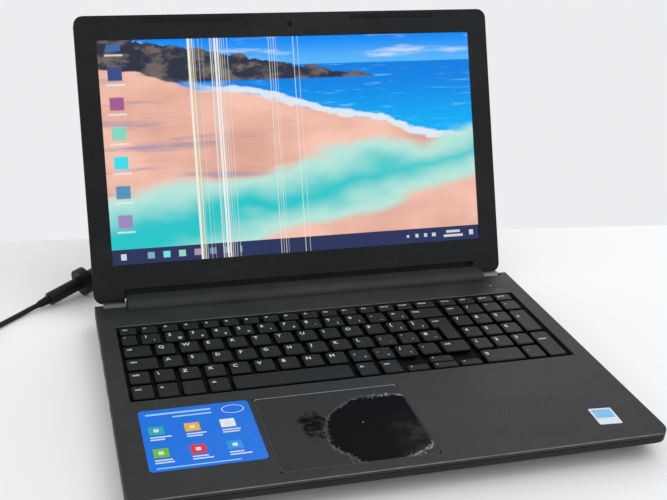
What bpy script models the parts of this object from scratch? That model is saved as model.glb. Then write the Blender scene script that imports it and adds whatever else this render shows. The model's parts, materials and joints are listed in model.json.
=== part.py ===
"""A damaged laptop, open on a table, with its charger lead plugged in.

The base is a tapered tray under a palm rest with a keyboard well. The lid swings on two
pins set below the rear edge of the deck. The local frame of the base has x from the middle,
y from the front edge to the back and z up from the top of the deck. The local frame of the
lid sits on the hinge axis, with z up the lid and y towards its back.
"""
import math

import bmesh
import bpy
import numpy as np
from mathutils import Matrix, Vector

MM = 0.001
GAP = 0.3 * MM

# Base
BASE_WIDTH = 382 * MM
BASE_DEPTH = 261 * MM
BASE_HEIGHT = 20 * MM
FOOT_HEIGHT = 1.5 * MM
FOOT_RADIUS = 7 * MM
FOOT_INSET_X = 26 * MM
FOOT_INSET_FRONT = 28 * MM
FOOT_INSET_REAR = 23 * MM
DECK_THICKNESS = 2.6 * MM
DECK_CHAMFER = 0.6 * MM
SEAM = 0.5 * MM
CASE_WALL = 1.8 * MM
CASE_REAR_WALL = 4.5 * MM
FLOOR_THICKNESS = 1.6 * MM
FRONT_BAND = 7.5 * MM
FRONT_TAPER = 15 * MM
SIDE_BAND = 11 * MM
SIDE_TAPER = 5.5 * MM
REAR_TAPER = 3 * MM
FRONT_CORNER = 11 * MM
REAR_CORNER = 6 * MM
REAR_ROUNDING = 8.5 * MM

# Hinge
HINGE_FROM_REAR = 3.7 * MM
HINGE_DROP = 6 * MM
HINGE_PIN_RADIUS = 1.5 * MM
BARREL_RADIUS = 6 * MM
BARREL_LENGTH = 18.9 * MM
NOTCH_INNER = 163.8 * MM
NOTCH_CLEARANCE = 0.5 * MM
NOTCH_FRONT = 7.8 * MM
NOTCH_DEPTH = 13 * MM
LEAF_LENGTH = 20 * MM
LEAF_FORWARD = 16 * MM
LEAF_THICKNESS = 3.6 * MM
BAR_FRONT = 15.8 * MM
BAR_HEIGHT = 6.2 * MM
BAR_SLOPE = 8.5 * MM

# Lid
LID_WIDTH = 381 * MM
LID_LENGTH = 252 * MM
LID_LEAN = math.radians(24.3)
LID_GAP = 0.8 * MM
LID_CORNER = 8 * MM
LID_FOOT = 4.8 * MM
LID_BROW = 16.5 * MM
LIP_BOTTOM = 8 * MM
BEZEL_THICKNESS = 1.2 * MM
COVER_WALL = 1.5 * MM
SCREEN_WIDTH = 344.2 * MM
SCREEN_BOTTOM = 37.5 * MM
HEAD_MARGIN = 21 * MM
SCREEN_TOP = LID_LENGTH - HEAD_MARGIN
SCREEN_HEIGHT = SCREEN_TOP - SCREEN_BOTTOM
PANEL_THICKNESS = 2.7 * MM
PANEL_MARGIN_SIDE = 7.4 * MM
PANEL_MARGIN_BOTTOM = 10.5 * MM
PANEL_MARGIN_TOP = 8 * MM
ARM_HEIGHT = 60 * MM
ARM_THICKNESS = 1.2 * MM
LENS_RISE = 2.7 * MM
WEBCAM_HEIGHT = SCREEN_TOP + PANEL_MARGIN_TOP + LENS_RISE
BUMPER_DROP = 4.5 * MM
BUMPER_HEIGHT = LID_LENGTH - BUMPER_DROP
BUMPER_WIDTH = 2.4 * MM
BUMPER_PROUD = 0.5 * MM
BUMPER_RECESS = 0.6 * MM
BUMPERS = {"lid_bumper_left": (-131.6 * MM, -53.2 * MM), "lid_bumper_right": (58 * MM, 137 * MM)}

# Keyboard
WELL_WIDTH = 354 * MM
WELL_FRONT = 107.5 * MM
WELL_REAR = 216.3 * MM
PAN_DEPTH = 6.4 * MM
PAN_WALL = 1.2 * MM
PLATE_THICKNESS = 1.5 * MM
PLATE_CLEARANCE = 0.4 * MM
CAP_TOP = 0.3 * MM
CAP_HEIGHT = 2.3 * MM
CAP_INSET = 0.8 * MM
STEM_SIZE = 5 * MM
STEM_CLEARANCE = 0.3 * MM
STEM_ENGAGED = 0.3 * MM

# Touchpad and power button
PAD_LEFT = -90 * MM
PAD_WIDTH = 110.5 * MM
PAD_FRONT = 10 * MM
PAD_LENGTH = 84.5 * MM
PAD_CORNER = 3 * MM
PAD_CLEARANCE = 0.4 * MM
PAD_DROP = 0.15 * MM
PAD_THICKNESS = 1.25 * MM
PAD_SHELF = 6.5 * MM
BUTTON_X = 169.5 * MM
BUTTON_Y = 224.5 * MM
BUTTON_LENGTH = 10 * MM
BUTTON_WIDTH = 5.5 * MM
BUTTON_FLANGE = 1.2 * MM

# Derived places
DECK_HEIGHT = BASE_HEIGHT + FOOT_HEIGHT
CASE_TOP = -(DECK_THICKNESS + SEAM)
FLOOR_TOP = -(BASE_HEIGHT - FLOOR_THICKNESS)
HINGE_Y = BASE_DEPTH - HINGE_FROM_REAR
HINGE_Z = -HINGE_DROP
BEZEL_FACE = HINGE_DROP + LID_GAP
BEZEL_BACK = BEZEL_FACE + BEZEL_THICKNESS
COVER_FRONT = BEZEL_BACK + GAP
PANEL_BACK = COVER_FRONT + PANEL_THICKNESS
COVER_INSIDE = PANEL_BACK + GAP + ARM_THICKNESS + GAP
LID_BACK = COVER_INSIDE + COVER_WALL
NOTCH_OUTER = NOTCH_INNER + BARREL_LENGTH + 2 * NOTCH_CLEARANCE
BARREL_INNER = NOTCH_INNER + NOTCH_CLEARANCE
BARREL_OUTER = BARREL_INNER + BARREL_LENGTH
PAN_BOTTOM = -(PAN_DEPTH + PAN_WALL)
LID_REACH = LID_LENGTH * math.sin(LID_LEAN) + LID_BACK * math.cos(LID_LEAN)
DEPTH_CENTRE = (HINGE_Y + LID_REACH) / 2

PART_COLLECTION = "broken_laptop"
CUTTER_COLLECTION = "cutters"


def clear_scene():
    """Remove every object, mesh and curve of the open file."""
    for item in list(bpy.data.objects):
        bpy.data.objects.remove(item, do_unlink=True)
    for store in (bpy.data.meshes, bpy.data.curves, bpy.data.materials):
        for item in list(store):
            store.remove(item)


def collection(name):
    """Return the named collection of the scene, made on first use."""
    found = bpy.data.collections.get(name)
    if found is None:
        found = bpy.data.collections.new(name)
        bpy.context.scene.collection.children.link(found)
    return found


def material(name, color, roughness, metallic=0.0):
    """Return a Principled material with a colour, roughness and metallic value."""
    made = bpy.data.materials.new(name)
    made.use_nodes = True
    shader = made.node_tree.nodes["Principled BSDF"]
    shader.inputs["Base Color"].default_value = (*color, 1.0)
    shader.inputs["Roughness"].default_value = roughness
    shader.inputs["Metallic"].default_value = metallic
    return made


def empty(name, location, rotation=(0, 0, 0), parent=None):
    """Add an empty that carries a local frame."""
    made = bpy.data.objects.new(name, None)
    made.location = location
    made.rotation_euler = rotation
    made.parent = parent
    collection(PART_COLLECTION).objects.link(made)
    return made


def finish(shape):
    """Turn a bmesh into a mesh with its faces pointing out."""
    bmesh.ops.recalc_face_normals(shape, faces=shape.faces)
    if shape.calc_volume(signed=True) < 0.0:
        bmesh.ops.reverse_faces(shape, faces=shape.faces)
    mesh = bpy.data.meshes.new("shape")
    shape.to_mesh(mesh)
    shape.free()
    return mesh


def box(low, high):
    """Return a box mesh between two corners."""
    shape = bmesh.new()
    bmesh.ops.create_cube(shape, size=1.0)
    size = Vector(high) - Vector(low)
    bmesh.ops.scale(shape, vec=size, verts=shape.verts)
    bmesh.ops.translate(shape, vec=(Vector(high) + Vector(low)) / 2, verts=shape.verts)
    return finish(shape)


def rounded_box(low, high, radius, axis, segments=4):
    """Return a box whose edges along one axis (0, 1 or 2) are rounded."""
    shape = bmesh.new()
    bmesh.ops.create_cube(shape, size=1.0)
    size = Vector(high) - Vector(low)
    bmesh.ops.scale(shape, vec=size, verts=shape.verts)
    along = []
    for edge in shape.edges:
        run = edge.verts[1].co - edge.verts[0].co
        if abs(run[axis]) > 0.5 * size[axis]:
            along.append(edge)
    bmesh.ops.bevel(shape, geom=along, offset=radius, segments=segments, profile=0.5, affect="EDGES")
    bmesh.ops.translate(shape, vec=(Vector(high) + Vector(low)) / 2, verts=shape.verts)
    return finish(shape)


def tapered_rod(start, end, start_radius, end_radius, sides=24):
    """Return a closed cylinder or cone frustum between two points."""
    start = Vector(start)
    end = Vector(end)
    run = end - start
    turn = run.to_track_quat("Z", "Y").to_matrix().to_4x4()
    place = Matrix.Translation((start + end) / 2) @ turn
    shape = bmesh.new()
    bmesh.ops.create_cone(
        shape, cap_ends=True, segments=sides, radius1=start_radius, radius2=end_radius,
        depth=run.length, matrix=place,
    )
    return finish(shape)


def rod(start, end, radius, sides=24):
    """Return a closed cylinder between two points."""
    return tapered_rod(start, end, radius, radius, sides)


def loft(rings):
    """Return the closed body through rings with the same number of points each."""
    shape = bmesh.new()
    loops = [[shape.verts.new(point) for point in ring] for ring in rings]
    for lower, upper in zip(loops, loops[1:]):
        count = len(lower)
        for index in range(count):
            after = (index + 1) % count
            shape.faces.new((lower[index], lower[after], upper[after], upper[index]))
    shape.faces.new(loops[0])
    shape.faces.new(loops[-1])
    shape.normal_update()
    bmesh.ops.triangulate(shape, faces=shape.faces)
    return finish(shape)


def prism(outline, axis, start, end):
    """Return an outline swept along one axis; its points give the other two coordinates."""
    rings = []
    for place in (start, end):
        ring = []
        for first, second in outline:
            point = [first, second]
            point.insert(axis, place)
            ring.append(point)
        rings.append(ring)
    return loft(rings)


def merged(meshes):
    """Return one mesh that holds several shapes which don't touch."""
    shape = bmesh.new()
    for mesh in meshes:
        shape.from_mesh(mesh)
    made = bpy.data.meshes.new("shapes")
    shape.to_mesh(made)
    shape.free()
    return made


def add_piece(name, mesh, finish_material, parent, origin=(0, 0, 0)):
    """Add a part whose mesh is given in its parent's frame, with its own origin."""
    mesh.transform(Matrix.Translation(-Vector(origin)))
    mesh.name = name
    mesh.materials.clear()
    mesh.materials.append(finish_material)
    made = bpy.data.objects.new(name, mesh)
    made.parent = parent
    made.location = origin
    collection(PART_COLLECTION).objects.link(made)
    return made


def combine(piece, mesh, operation):
    """Cut, join or intersect a part with a shape given in the frame of the part's parent."""
    tool = bpy.data.objects.new(f"{piece.name}_{operation.lower()}", mesh)
    tool.parent = piece.parent
    tool.hide_render = True
    tool.display_type = "WIRE"
    collection(CUTTER_COLLECTION).objects.link(tool)
    modifier = piece.modifiers.new(operation.title(), "BOOLEAN")
    modifier.operation = operation
    modifier.solver = "EXACT"
    modifier.object = tool


def cut(piece, *meshes):
    """Cut shapes out of a part."""
    for mesh in meshes:
        combine(piece, mesh, "DIFFERENCE")


def join(piece, *meshes):
    """Join shapes to a part."""
    for mesh in meshes:
        combine(piece, mesh, "UNION")


def both_sides(make):
    """Call a maker once for each side, with the side's name and its sign along x."""
    for name, sign in (("left", -1), ("right", 1)):
        make(name, sign)


def span(sign, near, far):
    """Return the low and high x of a stretch on one side of the middle."""
    return min(sign * near, sign * far), max(sign * near, sign * far)


def arc(centre, radius, start, end, segments):
    """Return points on an arc, with its angles in degrees."""
    points = []
    for index in range(segments + 1):
        angle = math.radians(start + (end - start) * index / segments)
        points.append((centre[0] + radius * math.cos(angle), centre[1] + radius * math.sin(angle)))
    return points


def inward(depth, band, taper):
    """Return how far a wall has come in at a depth below the deck."""
    return taper * max(0.0, depth - band) / (BASE_HEIGHT - band)


def case_ring(height, wall=0.0, rear_wall=0.0, segments=5):
    """Return the base's outline at one height, moved in by a wall."""
    depth = -height
    half = BASE_WIDTH / 2 - inward(depth, SIDE_BAND, SIDE_TAPER) - wall
    front = inward(depth, FRONT_BAND, FRONT_TAPER) + wall
    rear = BASE_DEPTH - inward(depth, SIDE_BAND, REAR_TAPER) - rear_wall
    near = max(FRONT_CORNER - wall, MM)
    far = max(REAR_CORNER - wall, MM)
    outline = arc((-half + near, front + near), near, 180, 270, segments)
    outline += arc((half - near, front + near), near, 270, 360, segments)
    outline += arc((half - far, rear - far), far, 0, 90, segments)
    outline += arc((-half + far, rear - far), far, 90, 180, segments)
    return [(x, y, height) for x, y in outline]


def case_body(top, wall=0.0, rear_wall=0.0, bottom=-BASE_HEIGHT, cap=0.0):
    """Return the loft of the base's outline from a top height to the bottom."""
    levels = [bottom, -SIDE_BAND, -FRONT_BAND, top]
    rings = [case_ring(level, wall, rear_wall) for level in levels]
    if cap > 0.0:
        rings.append([(x, y, cap) for x, y, _ in rings[-1]])
    return loft(rings)


def rear_rounding(sign):
    """Return the cutter that rounds the rear edge beside the hinge bar."""
    low, high = span(sign, NOTCH_INNER, BASE_WIDTH / 2 + SEAM)
    start = BASE_DEPTH - REAR_ROUNDING
    reach = BASE_DEPTH + REAR_ROUNDING
    outline = arc((start, -REAR_ROUNDING), REAR_ROUNDING, 90, 0, 8)
    outline += [(reach, -REAR_ROUNDING), (reach, REAR_ROUNDING), (start, REAR_ROUNDING)]
    return prism(outline, 0, low, high)


def notch(sign):
    """Return the cutter of the notch that a lid barrel turns in."""
    low, high = span(sign, NOTCH_INNER, NOTCH_OUTER)
    return box((low, HINGE_Y - NOTCH_FRONT, -NOTCH_DEPTH), (high, BASE_DEPTH + SEAM, REAR_ROUNDING))


def pin_bore(sign, radius, near, far):
    """Return a rod on the hinge axis on one side."""
    return rod((sign * near, HINGE_Y, HINGE_Z), (sign * far, HINGE_Y, HINGE_Z), radius, 16)


def hinge_bar():
    """Return the raised bar across the rear of the deck, between the lid barrels."""
    front = HINGE_Y - BAR_FRONT
    sweep = BAR_HEIGHT + HINGE_DROP
    outline = [(front, -DECK_THICKNESS), (front, 0.0)]
    for index in range(1, 6):
        turn = math.radians(90 * index / 5)
        outline.append((front + BAR_SLOPE * (1 - math.cos(turn)), BAR_HEIGHT * math.sin(turn)))
    drop = math.degrees(math.asin(HINGE_FROM_REAR / sweep))
    outline += arc((HINGE_Y, HINGE_Z), sweep, 90, 90 - drop, 3)
    outline.append((BASE_DEPTH, -DECK_THICKNESS))
    half = NOTCH_INNER - NOTCH_CLEARANCE
    return prism(outline, 0, -half, half)


def make_palm_rest(look, frame):
    """Make the deck: palm rest, keyboard pan, hinge bar and its openings."""
    outer = case_ring(-DECK_THICKNESS)
    top = case_ring(0.0, DECK_CHAMFER, DECK_CHAMFER)
    step = [(x, y, -DECK_CHAMFER) for x, y, _ in outer]
    deck = add_piece("palm_rest", loft([outer, step, top]), look["deck"], frame)
    half = WELL_WIDTH / 2
    pan_low = (-half - PAN_WALL, WELL_FRONT - PAN_WALL, PAN_BOTTOM)
    pan_high = (half + PAN_WALL, WELL_REAR + PAN_WALL, -DECK_THICKNESS / 2)
    for sign in (-1, 1):
        cut(deck, rear_rounding(sign))
    join(deck, box(pan_low, pan_high), hinge_bar())
    for sign in (-1, 1):
        cut(deck, notch(sign))
    cut(deck, box((-half, WELL_FRONT, -PAN_DEPTH), (half, WELL_REAR, DECK_THICKNESS)))
    pad_right = PAD_LEFT + PAD_WIDTH
    pad_rear = PAD_FRONT + PAD_LENGTH
    shelf = pad_rear - PAD_SHELF
    shelf_top = -(PAD_DROP + PAD_THICKNESS + GAP)
    low = (PAD_LEFT - PAD_CLEARANCE, PAD_FRONT - PAD_CLEARANCE, -2 * DECK_THICKNESS)
    cut(deck, box(low, (pad_right + PAD_CLEARANCE, shelf, DECK_THICKNESS)))
    low = (PAD_LEFT - PAD_CLEARANCE, shelf - SEAM, shelf_top)
    cut(deck, box(low, (pad_right + PAD_CLEARANCE, pad_rear + GAP, DECK_THICKNESS)))
    cut(deck, button_shape(GAP, -2 * DECK_THICKNESS, DECK_THICKNESS))
    return deck


def button_shape(grow, bottom, top):
    """Return the power button's oval, grown by a clearance."""
    half_x = BUTTON_LENGTH / 2 + grow
    half_y = BUTTON_WIDTH / 2 + grow
    low = (BUTTON_X - half_x, BUTTON_Y - half_y, bottom)
    high = (BUTTON_X + half_x, BUTTON_Y + half_y, top)
    return rounded_box(low, high, half_y * 0.98, 2)


def make_power_button(look, frame):
    """Make the power button with the flange that keeps it under the deck."""
    flange_top = -(DECK_THICKNESS + GAP)
    flange_bottom = flange_top - BUTTON_FLANGE
    origin = (BUTTON_X, BUTTON_Y, flange_bottom)
    shape = button_shape(0.0, flange_top - BUTTON_FLANGE / 2, -GAP / 2)
    button = add_piece("power_button", shape, look["gloss"], frame, origin)
    join(button, button_shape(BUTTON_FLANGE, flange_bottom, flange_top))
    return button


def make_touchpad(look, frame):
    """Make the clicking touchpad, hinged along its rear edge."""
    rear = PAD_FRONT + PAD_LENGTH
    low = (PAD_LEFT, PAD_FRONT, -(PAD_DROP + PAD_THICKNESS))
    high = (PAD_LEFT + PAD_WIDTH, rear, -PAD_DROP)
    origin = (PAD_LEFT + PAD_WIDTH / 2, rear, -(PAD_DROP + PAD_THICKNESS / 2))
    return add_piece("touchpad", rounded_box(low, high, PAD_CORNER, 2), look["pad"], frame, origin)


# Key rows: left edges and widths in millimetres from the middle of the base
ROW_FUNCTION = (204.5, 214.5)
ROW_DIGIT = (187.5, 202.5)
ROW_UPPER = (169.5, 185.0)
ROW_HOME = (150.5, 166.0)
ROW_LOWER = (131.5, 147.5)
ROW_SPACE = (111.0, 128.5)
ROW_ARROW_LOW = (110.5, 118.0)
ROW_ARROW_HIGH = (119.0, 127.0)
KEYS_LEFT = -174.3
KEYS_RIGHT = 99.5
PAD_COLUMNS = (104.3, 122.2, 140.1, 158.0)
PAD_CAP = 15.2
CAP = 15.7


def run_of_keys(row, first, pitch, count, width=CAP):
    """Return evenly spaced caps of one row as (left, right, row)."""
    return [(first + index * pitch, first + index * pitch + width, row) for index in range(count)]


def fixed_keys():
    """Return the caps that are made on the keyboard plate."""
    keys = run_of_keys(ROW_FUNCTION, KEYS_LEFT, 17.09, 15, 13.8)
    keys.append((82.0, KEYS_RIGHT, ROW_FUNCTION))
    keys.append((KEYS_LEFT, -161.8, ROW_DIGIT))
    keys += run_of_keys(ROW_DIGIT, -158.6, 19.2, 12)
    keys += run_of_keys(ROW_UPPER, -149.6, 19.42, 12)
    keys += run_of_keys(ROW_HOME, -146.2, 19.4, 12)
    keys += run_of_keys(ROW_LOWER, -155.4, 19.4, 12)
    for left, right in (
        (KEYS_LEFT, -158.3), (-155.5, -140.0), (-136.8, -120.5), (-117.0, -101.4), (-1.0, 14.3), (18.6, 33.6),
    ):
        keys.append((left, right, ROW_SPACE))
    keys.append((37.8, 55.5, ROW_ARROW_LOW))
    keys.append((82.0, KEYS_RIGHT, ROW_ARROW_LOW))
    for row in (ROW_FUNCTION, ROW_DIGIT):
        keys += [(left, left + PAD_CAP, row) for left in PAD_COLUMNS]
    for row in (ROW_UPPER, ROW_HOME, ROW_LOWER):
        keys += [(left, left + PAD_CAP, row) for left in PAD_COLUMNS[:3]]
    keys.append((PAD_COLUMNS[2], PAD_COLUMNS[2] + PAD_CAP, ROW_SPACE))
    return keys


def moving_keys():
    """Return the named caps that travel, as (left, right, (front, rear))."""
    pad_last = PAD_COLUMNS[3]
    return {
        "key_backspace": (72.0, KEYS_RIGHT, ROW_DIGIT),
        "key_tab": (KEYS_LEFT, -152.6, ROW_UPPER),
        "key_caps": (KEYS_LEFT, -150.0, ROW_HOME),
        "key_shift_left": (KEYS_LEFT, -158.5, ROW_LOWER),
        "key_shift_right": (77.4, KEYS_RIGHT, ROW_LOWER),
        "key_space": (-98.5, -5.8, ROW_SPACE),
        "key_up": (59.3, 79.0, ROW_ARROW_HIGH),
        "key_down": (59.3, 79.0, ROW_ARROW_LOW),
        "key_pad_zero": (PAD_COLUMNS[0], PAD_COLUMNS[1] + PAD_CAP, ROW_SPACE),
        "key_pad_plus": (pad_last, pad_last + PAD_CAP, (ROW_HOME[0], ROW_UPPER[1])),
        "key_pad_enter": (pad_last, pad_last + PAD_CAP, (ROW_SPACE[0], ROW_LOWER[1])),
    }


def rectangle(left, right, front, rear, height):
    """Return the four corners of a level rectangle."""
    return [(left, front, height), (right, front, height), (right, rear, height), (left, rear, height)]


def cap_mesh(left, right, row, stem_bottom):
    """Return a tapered key cap with its stem, from edges in millimetres."""
    left, right, front, rear = left * MM, right * MM, row[0] * MM, row[1] * MM
    middle_x = (left + right) / 2
    middle_y = (front + rear) / 2
    half = STEM_SIZE / 2
    stem = (middle_x - half, middle_x + half, middle_y - half, middle_y + half)
    top = (left + CAP_INSET, right - CAP_INSET, front + CAP_INSET, rear - CAP_INSET)
    under = -(CAP_TOP + CAP_HEIGHT)
    return loft([
        rectangle(*stem, stem_bottom),
        rectangle(*stem, under),
        rectangle(left, right, front, rear, under),
        rectangle(*top, -CAP_TOP),
    ])


def enter_outline():
    """Return the outline of the Enter key, which steps over two rows."""
    wide = 82.6
    narrow = 86.8
    points = [
        (wide, ROW_UPPER[1]), (wide, ROW_UPPER[0]), (narrow, ROW_UPPER[0]),
        (narrow, ROW_HOME[0]), (KEYS_RIGHT, ROW_HOME[0]), (KEYS_RIGHT, ROW_UPPER[1]),
    ]
    return [(x * MM, y * MM) for x, y in points]


def make_keyboard(look, frame):
    """Make the carrier plate with its fixed caps, and the caps that travel."""
    plate_bottom = -(PAN_DEPTH - GAP)
    plate_top = plate_bottom + PLATE_THICKNESS
    half = WELL_WIDTH / 2 - PLATE_CLEARANCE
    low = (-half, WELL_FRONT + PLATE_CLEARANCE, plate_bottom)
    high = (half, WELL_REAR - PLATE_CLEARANCE, plate_top)
    keyboard = add_piece("keyboard", box(low, high), look["keys"], frame)
    sunk = plate_top - PLATE_THICKNESS / 2
    join(keyboard, merged([cap_mesh(*key, sunk) for key in fixed_keys()]))
    reach = plate_top - STEM_ENGAGED
    for name, (left, right, row) in moving_keys().items():
        middle = ((left + right) / 2 * MM, (row[0] + row[1]) / 2 * MM)
        place_key(keyboard, name, cap_mesh(left, right, row, reach), middle, look, frame)
    outline = enter_outline()
    middle = ((outline[2][0] + outline[4][0]) / 2, (ROW_HOME[0] + ROW_UPPER[1]) / 2 * MM)
    under = -(CAP_TOP + CAP_HEIGHT)
    enter = place_key(
        keyboard, "key_enter", prism(outline, 2, under, -CAP_TOP), middle, look, frame)
    join(enter, stem_box(middle, reach, under + CAP_INSET, 0.0))
    return keyboard


def stem_box(middle, bottom, top, grow):
    """Return the square stem of a key, or its hole when grown."""
    half = STEM_SIZE / 2 + grow
    return box((middle[0] - half, middle[1] - half, bottom), (middle[0] + half, middle[1] + half, top))


def place_key(keyboard, name, mesh, middle, look, frame):
    """Add a travelling cap and cut the hole for its stem in the plate."""
    cut(keyboard, stem_box(middle, -PAN_DEPTH, -(CAP_TOP + CAP_HEIGHT) - GAP, STEM_CLEARANCE))
    origin = (*middle, -(CAP_TOP + CAP_HEIGHT))
    return add_piece(name, mesh, look["keys"], frame, origin)


# Inner pieces of the base
BATTERY_WIDTH = 200 * MM
BATTERY_FRONT = 224 * MM
BATTERY_LENGTH = 30 * MM
BATTERY_TOP = 9.3 * MM
BAY_CLEARANCE = 0.4 * MM
LATCH_WIDTH = 24 * MM
LATCH_LENGTH = 17 * MM
LATCH_THICKNESS = 1.2 * MM
LATCH_TONGUE = 12 * MM
LATCH_REACH = 3 * MM
LATCH_TRAVEL = 6 * MM
KNOB_WIDTH = 8 * MM
KNOB_LENGTH = 6 * MM
BOARD_LEFT = -184 * MM
BOARD_RIGHT = 56 * MM
BOARD_FRONT = 98 * MM
BOARD_REAR = 203 * MM
BOARD_STRIP = 18 * MM
BOARD_TOP = 15.6 * MM
BOARD_THICKNESS = 1.2 * MM
STANDOFF_RADIUS = 3 * MM
STANDOFFS = ((-150 * MM, 110 * MM), (45 * MM, 110 * MM), (-150 * MM, 165 * MM), (45 * MM, 190 * MM))
FAN_LEFT = -164 * MM
FAN_FRONT = 184 * MM
FAN_SIZE = 58 * MM
FAN_TOP = 8 * MM
FAN_HEIGHT = 10 * MM
FAN_WALL = 1.2 * MM
ROTOR_RADIUS = 24 * MM
ROTOR_HUB = 9 * MM
ROTOR_BLADES = 11
BLADE_THICKNESS = 1 * MM
FAN_PIN = 1.5 * MM
VENT_FRONT = 222.5 * MM
VENT_LENGTH = 19 * MM
VENT_BARS = 7
VENT_TOP = 8.5 * MM
VENT_HEIGHT = 6.5 * MM
VENT_SLOT = 1.6 * MM
FIN_DEPTH = 17 * MM
PIPE_WIDTH = 5 * MM
PIPE_HEIGHT = 3 * MM
COLD_PLATE = 30 * MM
COLD_PLATE_X = -96 * MM
COLD_PLATE_Y = 143 * MM
MEMORY_LEFT = -60 * MM
MEMORY_FRONT = 110 * MM
MEMORY_WIDTH = 67.6 * MM
MEMORY_LENGTH = 30 * MM
MEMORY_THICKNESS = 3.8 * MM
DRIVE_LEFT = -175 * MM
DRIVE_FRONT = 24 * MM
DRIVE_WIDTH = 100 * MM
DRIVE_LENGTH = 70 * MM
DRIVE_THICKNESS = 9.5 * MM
SPEAKER_WIDTH = 40 * MM
SPEAKER_LENGTH = 20 * MM
SPEAKER_HEIGHT = 8 * MM
SPEAKER_FRONT = 24 * MM
SPEAKERS = {"speaker_left": -48 * MM, "speaker_right": 140 * MM}
OPTICAL_LEFT = 58 * MM
OPTICAL_FRONT = 90 * MM
OPTICAL_LENGTH = 128 * MM
OPTICAL_TOP = 8 * MM
OPTICAL_HEIGHT = 9.4 * MM
OPTICAL_WALL = 0.8 * MM
TRAY_BEZEL = 6.6 * MM
TRAY_THICKNESS = 4.3 * MM
TRAY_SIDE = 0.5 * MM
TRAY_STOP = 2 * MM
DISC_RADIUS = 60.5 * MM
DISC_DEPTH = 1.8 * MM
EJECT_WIDTH = 8 * MM
EJECT_HEIGHT = 3 * MM
EJECT_DEPTH = 3.4 * MM
EJECT_TRAVEL = 1.2 * MM
PORT_BOTTOM = 15.3 * MM
PORT_RECESS = 0.3 * MM
INLET_X = -129 * MM
INLET_WIDTH = 11 * MM
INLET_HEIGHT = 7.4 * MM
INLET_LENGTH = 15 * MM
INLET_RECESS = 0.4 * MM
INLET_BORE = 2.75 * MM
INLET_BORE_DEPTH = 9 * MM

# Ports: side, middle along the depth, width, height, length, wall and opening height
PORTS = {
    "ethernet_port": (-1, 208 * MM, 16 * MM, 7.2 * MM, 16 * MM, 0.9 * MM),
    "hdmi_port": (-1, 179.5 * MM, 15.6 * MM, 6.2 * MM, 12 * MM, 0.8 * MM),
    "usb_port_left_rear": (-1, 153.5 * MM, 14.2 * MM, 6.6 * MM, 17 * MM, 0.7 * MM),
    "usb_port_left_front": (-1, 126.5 * MM, 14.2 * MM, 6.6 * MM, 17 * MM, 0.7 * MM),
    "usb_port_right": (1, 57 * MM, 14.2 * MM, 6.6 * MM, 17 * MM, 0.7 * MM),
}
JACK_Y = 104 * MM
JACK_SIZE = 6 * MM
JACK_LENGTH = 12 * MM
JACK_BORE = 1.8 * MM
JACK_BORE_DEPTH = 10 * MM


def port_face(bottom):
    """Return how far from the middle a port's face lies, just inside the tapered wall."""
    return BASE_WIDTH / 2 - inward(bottom, SIDE_BAND, SIDE_TAPER) - PORT_RECESS


def port_box(spec, grow, reach):
    """Return the outer box of a port, grown by a clearance and reaching past its face."""
    side, middle, width, height, length, _ = spec
    face = port_face(PORT_BOTTOM)
    low, high = span(side, face - length - grow, face + reach)
    near = middle - width / 2 - grow
    far = middle + width / 2 + grow
    return box((low, near, -PORT_BOTTOM - grow), (high, far, height - PORT_BOTTOM + grow))


def make_port(name, spec, look, frame):
    """Make one port shell with its opening."""
    side, middle, width, height, length, wall = spec
    shell = add_piece(name, port_box(spec, 0.0, 0.0), look["port"], frame)
    face = port_face(PORT_BOTTOM)
    low, high = span(side, face - length + 2 * wall, face + wall)
    near = middle - width / 2 + wall
    far = middle + width / 2 - wall
    cut(shell, box((low, near, wall - PORT_BOTTOM), (high, far, height - PORT_BOTTOM - wall)))


def jack_box(grow, reach):
    """Return the outer box of the audio socket."""
    face = port_face(PORT_BOTTOM)
    half = JACK_SIZE / 2 + grow
    low, high = span(-1, face - JACK_LENGTH - grow, face + reach)
    return box((low, JACK_Y - half, -PORT_BOTTOM - grow), (high, JACK_Y + half, JACK_SIZE - PORT_BOTTOM + grow))


def make_sockets(look, frame):
    """Make the ports, the audio socket and the power inlet."""
    for name, spec in PORTS.items():
        make_port(name, spec, look, frame)
    jack = add_piece("audio_jack", jack_box(0.0, 0.0), look["port"], frame)
    face = port_face(PORT_BOTTOM)
    height = JACK_SIZE / 2 - PORT_BOTTOM
    cut(jack, rod((-face - MM, JACK_Y, height), (JACK_BORE_DEPTH - face, JACK_Y, height), JACK_BORE, 16))
    inlet = add_piece("power_inlet", inlet_box(0.0, 0.0), look["port"], frame)
    rear = inlet_face()
    level = inlet_level()
    cut(inlet, rod((INLET_X, rear - INLET_BORE_DEPTH, level), (INLET_X, rear + MM, level), INLET_BORE, 20))


def inlet_level():
    """Return the height of the power inlet's middle."""
    return FLOOR_TOP + GAP + INLET_HEIGHT / 2


def inlet_face():
    """Return how far back the power inlet's face lies."""
    return BASE_DEPTH - inward(BASE_HEIGHT - FLOOR_THICKNESS, SIDE_BAND, REAR_TAPER) - INLET_RECESS


def inlet_box(grow, reach):
    """Return the outer box of the power inlet."""
    face = inlet_face()
    half = INLET_WIDTH / 2 + grow
    low = (INLET_X - half, face - INLET_LENGTH - grow, FLOOR_TOP + GAP - grow)
    return box(low, (INLET_X + half, face + reach, FLOOR_TOP + GAP + INLET_HEIGHT + grow))


def tray_bezel_box(grow, top_grow):
    """Return the block that the disc tray's face is shaped from."""
    inner = BASE_WIDTH / 2 - TRAY_BEZEL - grow
    low = (inner, OPTICAL_FRONT - grow, -(OPTICAL_TOP + OPTICAL_HEIGHT) - grow)
    return box(low, (BASE_WIDTH / 2 + TRAY_BEZEL, OPTICAL_FRONT + OPTICAL_LENGTH + grow, -OPTICAL_TOP + top_grow))


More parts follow.
